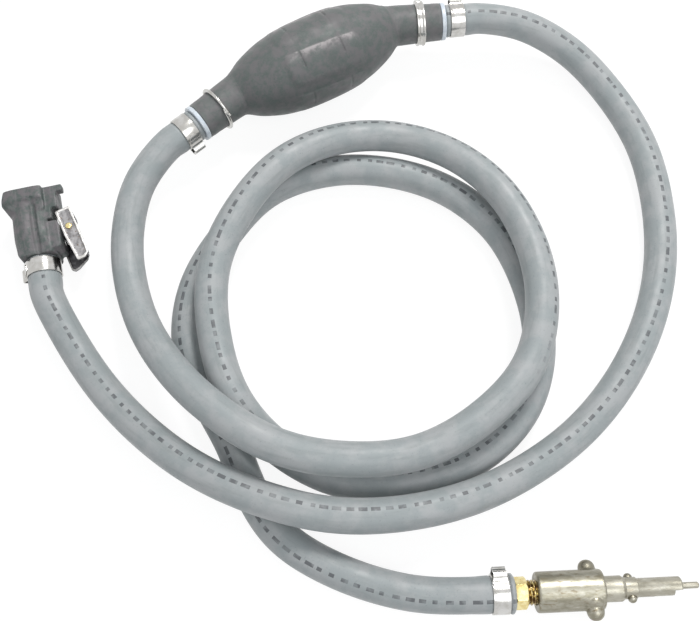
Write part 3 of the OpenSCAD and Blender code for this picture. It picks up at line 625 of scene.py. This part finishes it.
ENGINE_ROUTE = [
    (107, -31, 20), (124, -55, 14), (131, -85, 9), (129, -116, 8), (118, -146, 8),
    (101, -174, 8), (79, -197, 8), (52, -215, 8), (22, -227, 8), (-10, -232, 12),
    (-42, -231, 17), (-73, -223, 21), (-101, -209, 24), (-125, -188, 26), (-144, -163, 22),
    (-158, -134, 15), (-167, -104, 10), (-171, -75, 10),
]
# The middle line: the distance between its points, how often its bends are eased, and its least height
STEP, EASINGS, LIE_Z = 1.6, 25, 8
HOSE_SIDES = 40
# Keeps a face clear of the face that it lies on
FACE_GAP = 0.02


def laid(start, route, end):
    """The hose's middle line: straight on the barbs of both frames, and eased in between as it is stiff."""
    out, way_out, into, way_in = (
        np.array(v) for f in (start, end) for v in (1000 * f.translation, direction(f))
    )
    line = [out + way_out * d for d in (0, 6, 12, BARB_LEN)]
    line += [np.array(p, float) for p in route]
    line += [into - way_in * d for d in (BARB_LEN, 12, 6, 0)]
    line = smooth_line(line, STEP)
    far = along(line)
    free = smoothstep(12, 34, far) * smoothstep(12, 34, far[-1] - far)
    for _ in range(EASINGS):
        eased = (line[:-2] + 2 * line[1:-1] + line[2:]) / 4
        line[1:-1] += (eased - line[1:-1]) * free[1:-1, None]
    line[:, 2] = np.maximum(line[:, 2], LIE_Z)
    return line


def along(line):
    """How far each of its points is along a line."""
    return np.concatenate([[0], np.cumsum(np.linalg.norm(np.diff(line, axis=0), axis=1))])


def hose_swell(d, flare, clamp_at):
    """How far the skin stands off the hose's radius at a distance from its end: out over the barb and at
    the end's lip, and in under the clamp and at the very edge."""
    barb = 0.25 * (smoothstep(0.3, 1.2, d) - smoothstep(clamp_at + 9, clamp_at + 17, d))
    lip = flare * smoothstep(0, 0.9, d) * (1 - smoothstep(clamp_at - 1.1, clamp_at + 0.1, d))
    pinched = smoothstep(clamp_at - 0.7, clamp_at + 0.1, d)
    pinched = pinched * (1 - smoothstep(clamp_at + CLAMP_W, clamp_at + CLAMP_W + 0.9, d))
    return barb + lip - 0.3 * pinched - 0.4 * (1 - smoothstep(0, 0.55, d))


def map_print(mesh, at, prints, shift):
    """The hose's map: millimetres along it, and millimetres round it from the printed row. Each of prints
    is a share of the length, the row's degrees from the top there, and 1 where the row shows."""
    shares, turns, shown = np.array(prints, float).T
    turn, shown = (np.interp(at, shares * at[-1], v) for v in (turns, shown))
    loops = np.zeros(len(mesh.loops), int)
    mesh.loops.foreach_get("vertex_index", loops)
    row, column = loops // HOSE_SIDES, loops % HOSE_SIDES
    row = np.minimum(row, 2 * len(at) - 1 - row)
    away = (360 * column / HOSE_SIDES - turn[row] + 180) % 360 - 180
    uv = np.stack([at[row] + shift, np.radians(away) * HOSE_R], 1)
    mesh.uv_layers.new(name="hose").data.foreach_set("uv", uv.astype(np.float32).ravel())
    printed = np.repeat(shown, HOSE_SIDES)
    mark(mesh, "print", np.concatenate([printed, printed * 0]))


def hose(node, start, route, end, flare, clamps_at, prints, shift):
    """A hollow hose between two frames. flare is how far each end swells between clamp and fitting."""
    line = laid(start, route, end)
    # Finer rings near both ends, where the clamps squeeze the hose
    far = along(line)
    total = far[-1]
    near = np.concatenate([np.arange(0, 3.2, 0.2), np.arange(3.2, 30, 0.6)])
    at = np.unique(np.round(np.concatenate([near, np.arange(30, total - 30, 2.0), total - near]), 4))
    line = np.stack([np.interp(at, far, line[:, i]) for i in range(3)], 1)
    t = units(np.gradient(line, axis=0))
    side = units(np.cross(t, (0, 0, 1)))
    up = np.cross(side, t)
    angle = TAU * np.arange(HOSE_SIDES)[None, :, None] / HOSE_SIDES
    around = np.cos(angle) * up[:, None] + np.sin(angle) * side[:, None]
    swells = [hose_swell(d, f, c) for d, f, c in zip((at, total - at), flare, clamps_at)]
    out_r = HOSE_R + np.where(at < total / 2, *swells)
    # The rings go out along the skin and come back along the bore
    outer = line[:, None] + out_r[:, None, None] * around
    inner = line[:, None] + (BORE_R + FACE_GAP) * around
    points = np.concatenate([outer, inner[::-1]]).reshape(-1, 3)
    ob = make(node + "_tube", (points.tolist(), skin(2 * len(at), HOSE_SIDES, closed=True)))
    map_print(ob.data, at, prints, shift)
    settle(ob, PART, HOSE, node, angle=50)
    return ob, line * 0.001


tank_hose, tank_path = hose(
    "tank_hose", shifted(INLET_FACE, (FLANGE_T, 0, 0)), TANK_ROUTE, BAYONET,
    flare=(0.2, 0.6), clamps_at=(CLAMP_AT, CLAMP_AT), shift=0,
    prints=[
        (0, 30, 0), (0.24, 40, 0), (0.27, 42, 1), (0.34, 38, 1), (0.42, 12, 1), (0.48, -8, 1),
        (0.55, -25, 1), (0.8, 20, 1), (1, 25, 1),
    ],
)
engine_hose, engine_path = hose(
    "engine_hose", shifted(OUTLET_FACE, (FLANGE_T, 0, 0)), ENGINE_ROUTE, CONNECTOR,
    flare=(0.2, 0.0), clamps_at=(CLAMP_AT, CONN_CLAMP_AT), shift=11,
    prints=[(0, 10, 1), (0.3, -10, 1), (0.6, 15, 1), (1, 10, 1)],
)


# ---------- primer bulb ----------

RIM_R, BULB_WALL = ROOT_R - 0.15, 3.8
SIDES = 288
THETA = TAU * np.arange(SIDES) / SIDES
# The raised panels: degrees from the top to each middle and to either edge, then along the bulb where they
# end and where their notches are
PANELS = [34 + 60 * i for i in range(6)]
PANEL_HALF, PANEL_END, NOTCH_AT = 22, (18.5, 21.5), 10.8


def bulge(x):
    u = np.clip(np.abs(np.asarray(x, float)) / HALF, 0, 1)
    return RIM_R + (BULB_R - RIM_R) * (1 - u**2.6) ** 0.85


def relief(x):
    """How far the skin lies under the panels' tops round the bulb at x, and how pale it is painted there,
    for wear and for a painted highlight.
    """
    r = float(bulge(x))
    askew = 4 + 0.16 * x
    away = np.array([(np.degrees(THETA) - c - askew + 180) % 360 - 180 for c in PANELS])
    off = np.take_along_axis(away, np.abs(away).argmin(0)[None], 0)[0]
    # The panels' upper edges are crisp and worn pale, with a painted highlight on them, and their lower ones
    # run out softly
    edge = (PANEL_HALF - np.abs(off)) * math.radians(1) * r
    crisp = off < 0
    on = np.where(crisp, smoothstep(-0.5, 0.4, edge), smoothstep(-2.6, 2.0, edge))
    end = 1 - smoothstep(*PANEL_END, abs(x - 0.5) + 0.004 * off**2)
    beside = abs(x) - NOTCH_AT
    notch = 1 - 0.9 * math.exp(-((beside / 0.62) ** 2)) * np.where(crisp, 1.0, 0.15)
    high = on * end * notch
    upper = smoothstep(0.25, 0.75, np.cos(THETA))
    depth = (0.35 + 0.25 * upper) * (1 - smoothstep(31, 40, abs(x)))
    inside = np.clip(edge, 0, None)
    edge_wear_and_highlight = on * end * np.where(crisp, 1.0, 0.12) * np.exp(-((inside / 3.2) ** 2))
    lips = 0.5 * high * math.exp(-((beside / 1.6) ** 2)) * np.exp(-inside / 4) * crisp
    worn_and_highlighted = np.maximum(edge_wear_and_highlight * (0.35 + 0.65 * notch), lips)
    # The pale band grows towards the top of the bulb, as a painted highlight does
    return depth * (1 - high), worn_and_highlighted * (0.15 + 0.85 * upper)


def root_fillet(distance):
    """Rounds the corner between the body and the neck."""
    return 0.9 * math.exp(-abs(distance) / 1.2)


def neck_r(d, length):
    """A neck's radius at a distance from the body."""
    return ROOT_R + (NECK_R - ROOT_R) * d / length


def bulb_row(x, r):
    return np.stack([np.full(SIDES, x), -r * np.sin(THETA), BULB_Z + r * np.cos(THETA)], 1)


def neck_row(side, bend, d, r):
    """A ring round a neck at a distance from the body. The first few lean over into the bend."""
    turn = math.radians(-bend * side)
    axis = np.array([side * math.cos(turn), side * math.sin(turn), 0])
    tilt = turn * float(smoothstep(-1.0, 9.0, d))
    across = np.array([-math.sin(tilt), math.cos(tilt), 0])
    centre = np.array([side * HALF, 0, BULB_Z]) + axis * d
    return centre - np.outer(r * np.sin(THETA), across) + np.outer(r * np.cos(THETA), (0, 0, 1))


def bulb_half(side, bend, length):
    """Half the bulb with its neck, as rings that go out along the skin and come back inside, each with how
    worn and how highlighted it is painted. side is 1 towards the engine and -1 towards the tank."""
    rows = []
    for x in np.concatenate([
        np.arange(0, 8.7, 1.1), np.arange(8.8, 12.3, 0.2), np.arange(13, 25, 1.0),
        np.arange(25, 29.5, 0.4), np.arange(30, 40, 0.8),
        [40.3, 41, 41.6, 42.1, 42.5, 42.8, 43.05, 43.25, 43.4, HALF],
    ]):
        down, worn_and_highlighted = relief(side * x)
        rows.append((bulb_row(side * x, bulge(x) + root_fillet(HALF - x) - down), worn_and_highlighted))
    for d in [0.25, 0.6, 1.1, 1.8, 2.8, 4, 5.5, 7, 8.5, *np.arange(10, length - 1.2, 0.75)]:
        r = neck_r(d, length) + root_fillet(d) + 0.1 * float(smoothstep(length - 4.5, length - 4.1, d))
        rows.append((neck_row(side, bend, d, r), 0.10))
    lip = [(length - 1.2, NECK_R + 0.14), (length, NECK_R + 0.1, 0.5), (length, NECK_BORE_R, 0.3)]
    for d, r in soft(lip + [(length - 1, NECK_BORE_R)]):
        rows.append((neck_row(side, bend, d, r), 0.15))
    for d in (length - 8, 9.0, 0.2, 0.05):
        rows.append((neck_row(side, bend, d, NECK_BORE_R), 0))
    for x in (43.0, 42, 40.5, 38, 35, 31, 26, 20, 14, 7, 0):
        rows.append((bulb_row(side * x, max(float(bulge(x)) - BULB_WALL, NECK_BORE_R)), 0))
    return rows


def make_bulb():
    """One object for each half. At the middle both halves' normals lie across the bulb, so no seam shows."""
    halves = ((-1, INLET_BEND, INLET_NECK, "tank"), (1, OUTLET_BEND, OUTLET_NECK, "engine"))
    for side, bend, length, name in halves:
        rows = bulb_half(side, bend, length)
        points = np.concatenate([row for row, worn_and_highlighted in rows])
        ob = make(f"primer_bulb_{name}_half", (points.tolist(), skin(len(rows), SIDES)))
        mesh = ob.data
        # Each ring's paleness, wear and painted highlight together, goes to the material
        mark(mesh, "edge_wear_and_highlight", np.concatenate([np.broadcast_to(worn_and_highlighted, SIDES) for row, worn_and_highlighted in rows]))
        settle(ob, PART, BULB, "primer_bulb", body=None, angle=38)
        # A zero vector keeps the automatic normal
        normals = np.zeros((len(points), 3))
        for i in [*range(SIDES), *range(len(points) - SIDES, len(points))]:
            n = mesh.vertices[i].normal.copy()
            n.x = 0
            normals[i] = n.normalized()
        mesh.normals_split_custom_set_from_vertices(normals.tolist())
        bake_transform(ob)


make_bulb()


# ---------- what the bulb carries ----------


def barb_profile():
    """The outside of a hose barb from its fitting on: three ridges that fall away towards its tip."""
    pitch, ridge = BARB_LEN / 4, 0.5
    out = []
    for x in (pitch, 2 * pitch, 3 * pitch):
        out += [(x, BORE_R), (x + 0.15, BORE_R + ridge), (x + 0.8 * pitch, BORE_R)]
    return out + [(BARB_LEN, BORE_R, 0.3)]


def barb_fitting(name, base):
    """Flange, hose barb and valve barrel in one turned form, with the chamber and the passage."""
    profile = [(-16, 7, 0.4), (0, 7), (0, 9.5, 0.45), (FLANGE_T, 9.5, 0.45), (FLANGE_T, BORE_R)]
    profile += [(x + FLANGE_T, r, *f) for x, r, *f in barb_profile()]
    profile += [(FLANGE_T + BARB_LEN, BARB_BORE_R), (-4, BARB_BORE_R), (-4, 5.6), (-16, 5.6)]
    settle(make(name + "_turned", hollow(profile, 96)), base, ACETAL, name)


barb_fitting("inlet_barb_fitting", INLET_FACE)
barb_fitting("outlet_barb_fitting", OUTLET_FACE)


def past_end(end, before):
    """A point past the end of the ring's wire, turned up off the neck."""
    end = Vector(end)
    return tuple(end + Vector((0, end.y, end.z)).normalized() + (end - Vector(before)) * 0.8)


def neck_ring():
    """A wire ring whose two ends pass each other on the viewer's side."""
    x, wire, count = 13.5, 0.85, 120
    r = neck_r(x - wire, INLET_NECK) + wire + SEAT_GAP
    path = []
    for i in range(count + 1):
        far = 2 * i / count - 1
        a = math.radians(-57 + 374 * i / count)
        slip, lift = 1.05 * (0.85 * far) ** 5, 0.35 * far**24
        path.append((x + slip, -(r + lift) * math.sin(a), (r + lift) * math.cos(a)))
    path = [past_end(path[0], path[1]), *path, past_end(path[-1], path[-2])]
    radii = [0.6] + [wire] * (count + 1) + [0.6]
    ob = make("neck_ring_wire", tube(path, radii, 16))
    settle(ob, INLET, STEEL, "inlet_neck_ring", angle=60)


def neck_band():
    """A rolled band with two raised edges and its pressed joint."""
    x0, wide = 14.3, 4.4
    r0 = neck_r(x0, OUTLET_NECK) + SEAT_GAP
    half = [(0, 0, 0.2), (0, 1.3, 0.5), (1.1, 1.3, 0.5), (1.5, 0.85, 0.4)]
    profile = half + [(wide - x, h, f) for x, h, f in reversed(half)]
    band = hollow([(x0 + x, r0 + h, f) for x, h, f in profile], 120)
    foot, top = r0 + 0.5, r0 + 2
    lip = soft([(-2.3, foot, 0.3), (-1.7, top, 0.6), (1.7, top, 0.6), (2.3, foot, 0.3)], True)
    lip = turned(bar(lip, x0 + 0.4, x0 + wide - 0.4), "X", -70)
    ob = bevel(make("neck_band_rolled", joined(band, lip)), 0.3, 50)
    settle(ob, OUTLET, STEEL, "outlet_neck_band")


neck_ring()
neck_band()


def ribbon(path, widths, thickness, middle):
    """A sheet strip along a path in the plane across X, with bevelled edges."""
    pts = smooth_line([(0, p[0], p[1]) for p in path], 0.18)
    wide = np.interp(np.linspace(0, 1, len(pts)), np.linspace(0, 1, len(widths)), widths)
    n = np.cross(units(np.gradient(pts, axis=0)), (1, 0, 0))
    half, cut = thickness / 2, 0.16
    points = []
    for p, up, w in zip(pts, n, wide):
        corners = [np.array(c) for c in ((-w, -half), (-w, half), (w, half), (w, -half))]
        for i, here in enumerate(corners):
            for other in (corners[i - 1], corners[(i + 1) % 4]):
                x, h = here + (other - here) / np.linalg.norm(other - here) * cut
                points.append(tuple(np.array([middle + x, 0, 0]) + p + up * h))
    return points, lids(len(pts), 8) + skin(len(pts), 8)


def ear_clamp(name, base, x0, ear_turn):
    """A one-ear clamp: a closed band, and the ear pinched up from it."""
    r0, r1, x1 = HOSE_R + FACE_GAP, HOSE_R + CLAMP_T, x0 + CLAMP_W
    middle = x0 + CLAMP_W / 2
    band = hollow([(x0, r0, 0.2), (x0, r1, 0.25), (x1, r1, 0.25), (x1, r0, 0.2)], 120, steps=3)
    # Half of the ear's section: across, and above the hose's skin
    half = [
        (5.7, -1.85), (4.7, -1.05), (3.85, -0.4), (3.35, 0.4), (3.12, 1.4), (3.0, 2.5), (2.65, 3.3),
        (2.0, 3.55), (1.1, 3.1), (0, 2.85),
    ]
    path = [(-q, HOSE_R + h) for q, h in half] + [(q, HOSE_R + h) for q, h in half[-2::-1]]
    share = CLAMP_W / 8
    widths = [w * share for w in (3.9, 3.7, 3.3, 3.15, 3.1, 3.15, 3.3, 3.7, 3.9)]
    ear = ribbon(path, widths, CLAMP_T, middle)
    # The strap's outer end, a thin tongue that lies on the band beside the ear
    lie = r1 + 0.18
    tongue = [(-lie * math.sin(a), lie * math.cos(a)) for a in np.radians(np.linspace(34, 72, 20))]
    widths = [w * share for w in (3.6, 3.6, 3.6, 2.6, 1.2)]
    pinched = turned(joined(ear, ribbon(tongue, widths, 0.4, middle)), "X", ear_turn)
    settle(make(name + "_strap", joined(band, pinched)), base, STEEL, name)


ear_clamp("inlet_hose_clamp", INLET_FACE, FLANGE_T + CLAMP_AT, -120)
ear_clamp("outlet_hose_clamp", OUTLET_FACE, FLANGE_T + CLAMP_AT, -60)
ear_clamp("connector_hose_clamp", CONNECTOR, -CONN_CLAMP_AT - CLAMP_W, -120)
ear_clamp("bayonet_hose_clamp", BAYONET, -CLAMP_AT - CLAMP_W, -60)


# ---------- engine connector ----------


def connector_body():
    """Moulded body: a core and a wider rim at the port, with a block and a pad beside the lever."""
    plan = [
        (0, 8.8), (5, 9.5), (10, 10.4), (14, 10.8), (19, 10.2), (22, 10.4), (28.5, 13.9), (30, 14),
        (34.5, 11.6), (34.5, -6.5), (8, -6.5), (4, -8.8), (0, -8.8),
    ]
    side = [(0, 8.8), (10, 11), (26.5, 11), (28.5, 13), (34.5, 13)]
    side += [(x, -z) for x, z in reversed(side)]
    core = [bar(rounded(oblong(-8.8, 10.8, -11, 11), 8, 8), -1, 36)]
    rim = [bar(rounded(oblong(-8.8, 14, -13, 13), 6, 8), -1, 36)]
    rim.append(lathe([(22, 0), (22, 12.1), (28.5, 16.9), (35, 16.9), (35, 0)], 96))
    shapes = []
    for limits in (core, rim):
        ob = make("shell", prism(plan, -30, 30))
        combine(ob, "INTERSECT", turned(prism(side, -30, 30), "X", 90), *limits)
        shapes.append(taken_from(ob))
    block = [(17, -4), (17, -9.2), (22.8, -9.2), (22.8, -12.5), (34.5, -12.5), (34.5, -4)]
    pad = [(1.5, -5.7), (1.5, -10.9), (2.5, -11.9), (13, -11.9), (16, -10.9), (16, -5.7)]
    ear_r, ear_z = 1.7, 4.9
    shapes += [
        prism(block, -2, 9.5),
        slab(31, 34.5, -15.8, -4, 5, 9.5),
        slab(PIVOT_X - ear_r, PIVOT_X + ear_r, PIVOT_Y, -4, -ear_z, ear_z),
        prism(disc(PIVOT_X, PIVOT_Y, ear_r), -ear_z, ear_z),
        prism(pad, -ear_z, 9),
    ]
    # A low ridge along the top and the bottom, and then a shallow groove beside it
    ridge = [(2, 5.3), (6, 6), (11, 7.3), (27, 7.3)]
    shapes += [tube([(x, 3.6, s * z) for x, z in ridge], [4.3, 4.5, 4.6, 4.6], 48) for s in (-1, 1)]
    ob = cast(make("connector_shell", joined(*shapes)), 0.36, 1)
    groove = [(-1, 9.6), (5, 10.6), (10, 11.7), (25, 11.7), (28, 14)]
    cut(ob, *(tube([(x, -1, s * z) for x, z in groove], 1.8, 24) for s in (-1, 1)))
    cast(ob, 0.36, 5)
    bore = [
        (-1, 0), (-1, 5.22), (8, 5.22), (8, 4.2), (20.5, 4.2), (20.5, 2.4), (22.5, 2.4), (22.5, 5.9),
        (24.3, 5.9), (24.3, 5), (33.9, 5), (34.7, 5.7), (36, 5.7), (36, 0),
    ]
    pivot_hole = prism(disc(PIVOT_X, PIVOT_Y, 1), -20, 20)
    cut(ob, lathe(bore, 64), pivot_hole, slab(-1, 16, -30, -7.5, -6.8, -ear_z))
    settle(ob, CONNECTOR, BLACK, "connector_body", angle=30)


def latch_lever():
    """Pressed steel lever: a tray with a raised rim on top, a leaning web and a wider lower plate."""
    top = [(10, 3.6), (10, -3.6), (8.5, -4), (-17, -4), (-19, -1.6), (-19, 2.2), (-4, 3.6)]
    tray = [(8.8, 2.4), (8.8, -3), (-16.5, -3.2), (-17.7, -1.2), (-17.7, 1.2), (-4, 2.4)]
    low = [
        (10, 3.6), (10, -3.6), (7, -3.6), (5.5, -2.7), (-12.5, -2.7), (-14.8, -1.2), (-17.7, 4.2),
        (-18.1, 6.4), (-16.8, 7.9), (2, 8), (3.6, 3.6),
    ]
    floor = [
        (8.5, 3), (8.5, -4.5), (-12.5, -3.5), (-14, -1.6), (-16.8, 4.3), (-17.1, 6.2), (-16.3, 7),
        (1.6, 7.1), (3, 3),
    ]
    upper = make("upper", prism(rounded(top, 1), 5.4, 6.75))
    cut(upper, prism(rounded(tray, 1), 6.3, 8))
    lower = make("lower", prism(rounded(low, 0.8), -6.3, -4.9))
    cut(lower, prism(floor, -5.4, -4))
    web = make("web", bar([(-4, 5.5), (-3.1, 5.5), (-1.8, -5.5), (-2.7, -5.5)], -19, 8.5))
    slant = [(-17.5, 5.5), (-12.5, -5.5), (8.5, -5.5), (8.5, 5.5)]
    combine(web, "INTERSECT", turned(prism(slant, -8, 8), "X", 90))
    hook = [slab(8.1, 9.7, -3.6, 4.2, -4, 4), slab(8.1, 9.3, -3.6, 0, -5.5, 5.5)]
    ob = make("latch_lever_plate", joined(*(taken_from(o) for o in (upper, lower, web)), *hook))
    cast(ob, 0.17, 3)
    cut(ob, prism(disc(0, 0, 1.05, 32), -20, 20))
    settle(ob, LATCH, LEVER_STEEL, "latch_lever", "latch", 30)


def latch_rivet():
    head = [(6.38, 1), (6.38, 1.6, 0.15), (6.8, 1.5, 0.2), (7.05, 0.9, 0.3), (7.05, 0)]
    body = [(-x, r, *f) for x, r, *f in reversed(head)] + head
    ob = make("latch_rivet_pin", turned(lathe(soft(body), 48), "Y", -90))
    settle(ob, LATCH, BRASS, "latch_rivet")


connector_body()
latch_lever()
latch_rivet()


# ---------- tank bayonet ----------


def both_ways(shape, x, turn=LUG_TURN):
    """A turned shape at x on the bayonet's axis, pointing out both ways, turned by so much from level."""
    return [turned(turned(shape, "Z", 90 * s), "X", turn, (x, 0, 0)) for s in (-1, 1)]


def thread(x0, x1):
    """A cut thread on its hollow stem. Its ridge climbs round the stem and runs out at both ends."""
    pitch, count = 1.5, 64
    points = []
    for x in np.arange(x0, x1 + 0.01, pitch / 10):
        for j in range(count):
            a = TAU * j / count
            ridge = 1 - abs(2 * ((x / pitch - j / count) % 1) - 1)
            r = 4.6 + 0.78 * min(1, ridge * 1.25)
            r = min(r, 4.7 + (x - x0) * 1.1, 4.7 + (x1 + 0.2 - x) * 1.2)
            points.append((x, -r * math.sin(a), r * math.cos(a)))
    for x in (x1, x0):
        points += ring(x, BARB_BORE_R, count)
    return points, skin(len(points) // count, count, closed=True)


def bayonet_barb():
    """Hexagon with chamfered corners, a cut thread and the hose barb."""
    hex_x, hex_r, corner = 5.2, 6.93, 0.5
    stem = [(-BARB_LEN, BARB_BORE_R)] + [(-x, r, *f) for x, r, *f in reversed(barb_profile())]
    stem += [(0, BORE_R), (0, 5), (hex_x, 5), (hex_x, BARB_BORE_R)]
    ob = make("hexagon", bar(disc(0, 0, hex_r, 6), 0, hex_x))
    chamfer = [(0, 0), (0, 6.2), (corner, 6.9), (hex_x - corner, 6.9), (hex_x, 6.2), (hex_x, 0)]
    combine(ob, "INTERSECT", lathe(chamfer, 96))
    bevel(ob, 0.22, 25)
    cut(ob, lathe([(-1, 0), (-1, 4.9), (6, 4.9), (6, 0)], 64))
    ob = make("bayonet_barb_hex", joined(hollow(stem, 64), taken_from(ob), thread(5.1, 17.3)))
    settle(ob, BAYONET, THREAD_BRASS, "bayonet_barb", angle=30)


def bayonet_barrel():
    """Cast barrel with its two thumb lugs, whose roots run up it in low swellings, in one skin."""
    x0, x1 = 9.3, 38.3
    barrel = lathe(soft([(x0, 0), (x0, BARREL_R, 1.1), (x1, BARREL_R, 1.1), (x1, 0)]), 72)
    lug = [
        (0, 0), (0, 4.4), (6.5, 4.3), (8.6, 3.85), (10.4, 3.7), (12, 3.1), (13, 2), (13.42, 0.9), (13.5, 0),
    ]
    lugs = both_ways(lathe(smooth_profile(lug), 40), LUG_X)
    root = lathe([(0, 0), (0, 3.6), (8.5, 3.5), (9.5, 2.9), (9.9, 1.4), (9.9, 0)], 40)
    ob = make("bayonet_barrel_cast", joined(barrel, *lugs, *both_ways(root, LUG_X, -42)))
    cast(ob, 0.34, 8)
    bore = [
        (8.3, 0), (8.3, 5.46), (17.8, 5.46), (17.8, 6.5), (31.8, 6.5), (31.8, 5.55), (39.3, 5.55), (39.3, 0)
    ]
    cut(ob, lathe(bore, 64))
    settle(ob, BAYONET, NICKEL, "bayonet_barrel", angle=32)


def bayonet_nozzle():
    """Collar, land and plug in one, with the fuel slot and the cut-away tip."""
    profile = [
        (29.8, 3.8), (29.8, 6.4, 0.2), (31.7, 6.4, 0.2), (31.7, 5.5), (46.3, 5.5, 0.5), (47.7, 4.6, 0.5),
        (52.9, 4.6, 0.3), (52.9, 4.0), (71.8, 4.0, 0.4), (72.3, 3.5, 0.2), (72.3, 1.45), (64.3, 1.45),
        (64.3, 2.2), (45.2, 2.2), (45.2, 3.8),
    ]
    ob = make("bayonet_nozzle_turned", hollow(profile, 96))
    slot, cutaway = slab(60.3, 73.5, -8, 0, -1, 1), slab(68.8, 74.5, -8, -1.8, -9, 9)
    seat = lathe([(3.4, 0), (3.4, 1.97), (9, 1.97), (9, 0)], 40)
    cut(ob, slot, cutaway, *both_ways(seat, STUD_X))
    bevel(ob, 0.15, 50)
    settle(ob, BAYONET, NICKEL_TURNED, "bayonet_nozzle")


def bayonet_studs():
    stud = [(3.4, 0), (3.4, 1.93), (4.6, 1.95), (5.4, 1.82), (6, 1.42), (6.45, 0.75), (6.6, 0)]
    studs = both_ways(lathe(smooth_profile(stud), 40), STUD_X)
    settle(make("bayonet_lock_studs_domed", joined(*studs)), BAYONET, NICKEL, "bayonet_lock_studs", angle=60)


def bayonet_needle():
    body = [
        (41.75, 0), (41.75, 3.3, 0.2), (43.55, 3.3, 0.2), (43.55, 1.4), (79.7, 1.4, 0.3), (80.3, 0.8, 0.3),
        (80.3, 0),
    ]
    tail = [(34.1, 0), (34.1, 1.2, 0.2), (41.8, 1.2), (41.8, 0)]
    ob = make("bayonet_needle_rod", joined(lathe(soft(body), 40), lathe(soft(tail), 32)))
    settle(ob, BAYONET, NICKEL_TURNED, "bayonet_needle", "needle")


bayonet_barb()
bayonet_barrel()
bayonet_nozzle()
bayonet_studs()
bayonet_needle()


# ---------- springs ----------


def coil(name, base, x0, x1, r, wire, turns):
    """A round wire coil along its frame's X, with flat closed ends."""
    path, steps = [], 28
    for i in range(int((turns + 1.5) * steps) + 1):
        a = TAU * i / steps
        free = min(1, max(0, (i - 0.75 * steps) / (turns * steps)))
        x = x0 + wire / 2 + (x1 - x0 - wire) * free
        path.append((x, r * math.cos(a), r * math.sin(a)))
    ob = make(name + "_coil", tube(path, wire / 2, 10))
    settle(ob, base, SPRING, name, angle=60)
    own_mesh(ob)


ACROSS = shifted(CONNECTOR, (7.4, 0, 0), -90)
coil("inlet_valve_spring", INLET_FACE, -14, -5.45, 3.9, 0.5, 4)
coil("outlet_valve_spring", OUTLET_FACE, -12.55, -4, 3.9, 0.5, 4)
coil("port_valve_spring", CONNECTOR, 8, 14.95, 3.4, 0.6, 3.5)
coil("latch_spring", ACROSS, 11.9, 18.9, 1.7, 0.6, 4)
coil("needle_spring", BAYONET, 31, 41.75, 2.7, 0.6, 5)


# ---------- CAD nodes inside keep their shapes ----------

for names, look in (
    (("inlet_valve_cage", "outlet_valve_seat", "needle_spring_clip"), CAD_STEEL),
    (("inlet_valve_disc", "outlet_valve_disc", "connector_barb", "port_valve"), CAD_BRASS),
    (("port_seal", "needle_seal"), SEAL),
):
    for name in names:
        dress(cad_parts[name], look)


# ---------- floor, light ----------


def camera_share(tree):
    """1 for the rays that are shown a plain white: camera, glossy and transmission rays."""
    rays = add_node(tree, "ShaderNodeLightPath").outputs
    share = rays["Is Camera Ray"]
    for name in ("Is Glossy Ray", "Is Transmission Ray"):
        share = add_node(tree, "ShaderNodeMath", {0: share, 1: rays[name]}, operation="MAXIMUM").outputs[0]
    return share


def show(tree, share, lit, shown, out):
    """Mixes two shaders by share, and sends them to the tree's output."""
    mix = add_node(tree, "ShaderNodeMixShader", {0: share, 1: lit.outputs[0], 2: shown.outputs[0]})
    add_node(tree, out, {0: mix.outputs[0]})


def make_floor():
    """White to the camera, which sees a fifth of the lit floor, so that the shadow stays faint."""
    ob = make("floor", ([(x, y, 0) for x, y in oblong(-3, 3, -3, 3)], [range(4)]))
    material = bpy.data.materials.new("floor")
    tree = cleared(material)
    lit = add_node(tree, "ShaderNodeBsdfDiffuse", {"Color": (0.80, 0.80, 0.80, 1)})
    shown = add_node(tree, "ShaderNodeEmission", {"Strength": 1.12})
    share = add_node(tree, "ShaderNodeMath", {0: camera_share(tree), 1: 0.8}, operation="MULTIPLY")
    show(tree, share.outputs[0], lit, shown, "ShaderNodeOutputMaterial")
    ob.data.materials.append(material)


def make_world():
    world = bpy.data.worlds.new("world")
    bpy.context.scene.world = world
    tree = cleared(world)
    light = add_node(tree, "ShaderNodeBackground", {"Color": (0.97, 0.985, 1.0, 1), "Strength": 0.52})
    white = add_node(tree, "ShaderNodeBackground", {"Color": (1, 1, 1, 1)})
    show(tree, camera_share(tree), light, white, "ShaderNodeOutputWorld")


def make_light(name, place, size, power, colour):
    data = bpy.data.lights.new(name, "AREA")
    data.shape, data.size, data.energy, data.color = "DISK", size, power, colour
    aimed(name, data, place, (-0.02, -0.12, 0))


make_floor()
make_world()
make_light("key", (0.48, 0.33, 1.02), 0.34, 8.7, (1.0, 0.99, 0.97))
make_light("fill", (0.05, -0.7, 1.0), 0.9, 4.2, (0.97, 0.99, 1.0))
bpy.context.scene.view_settings.view_transform = "Standard"
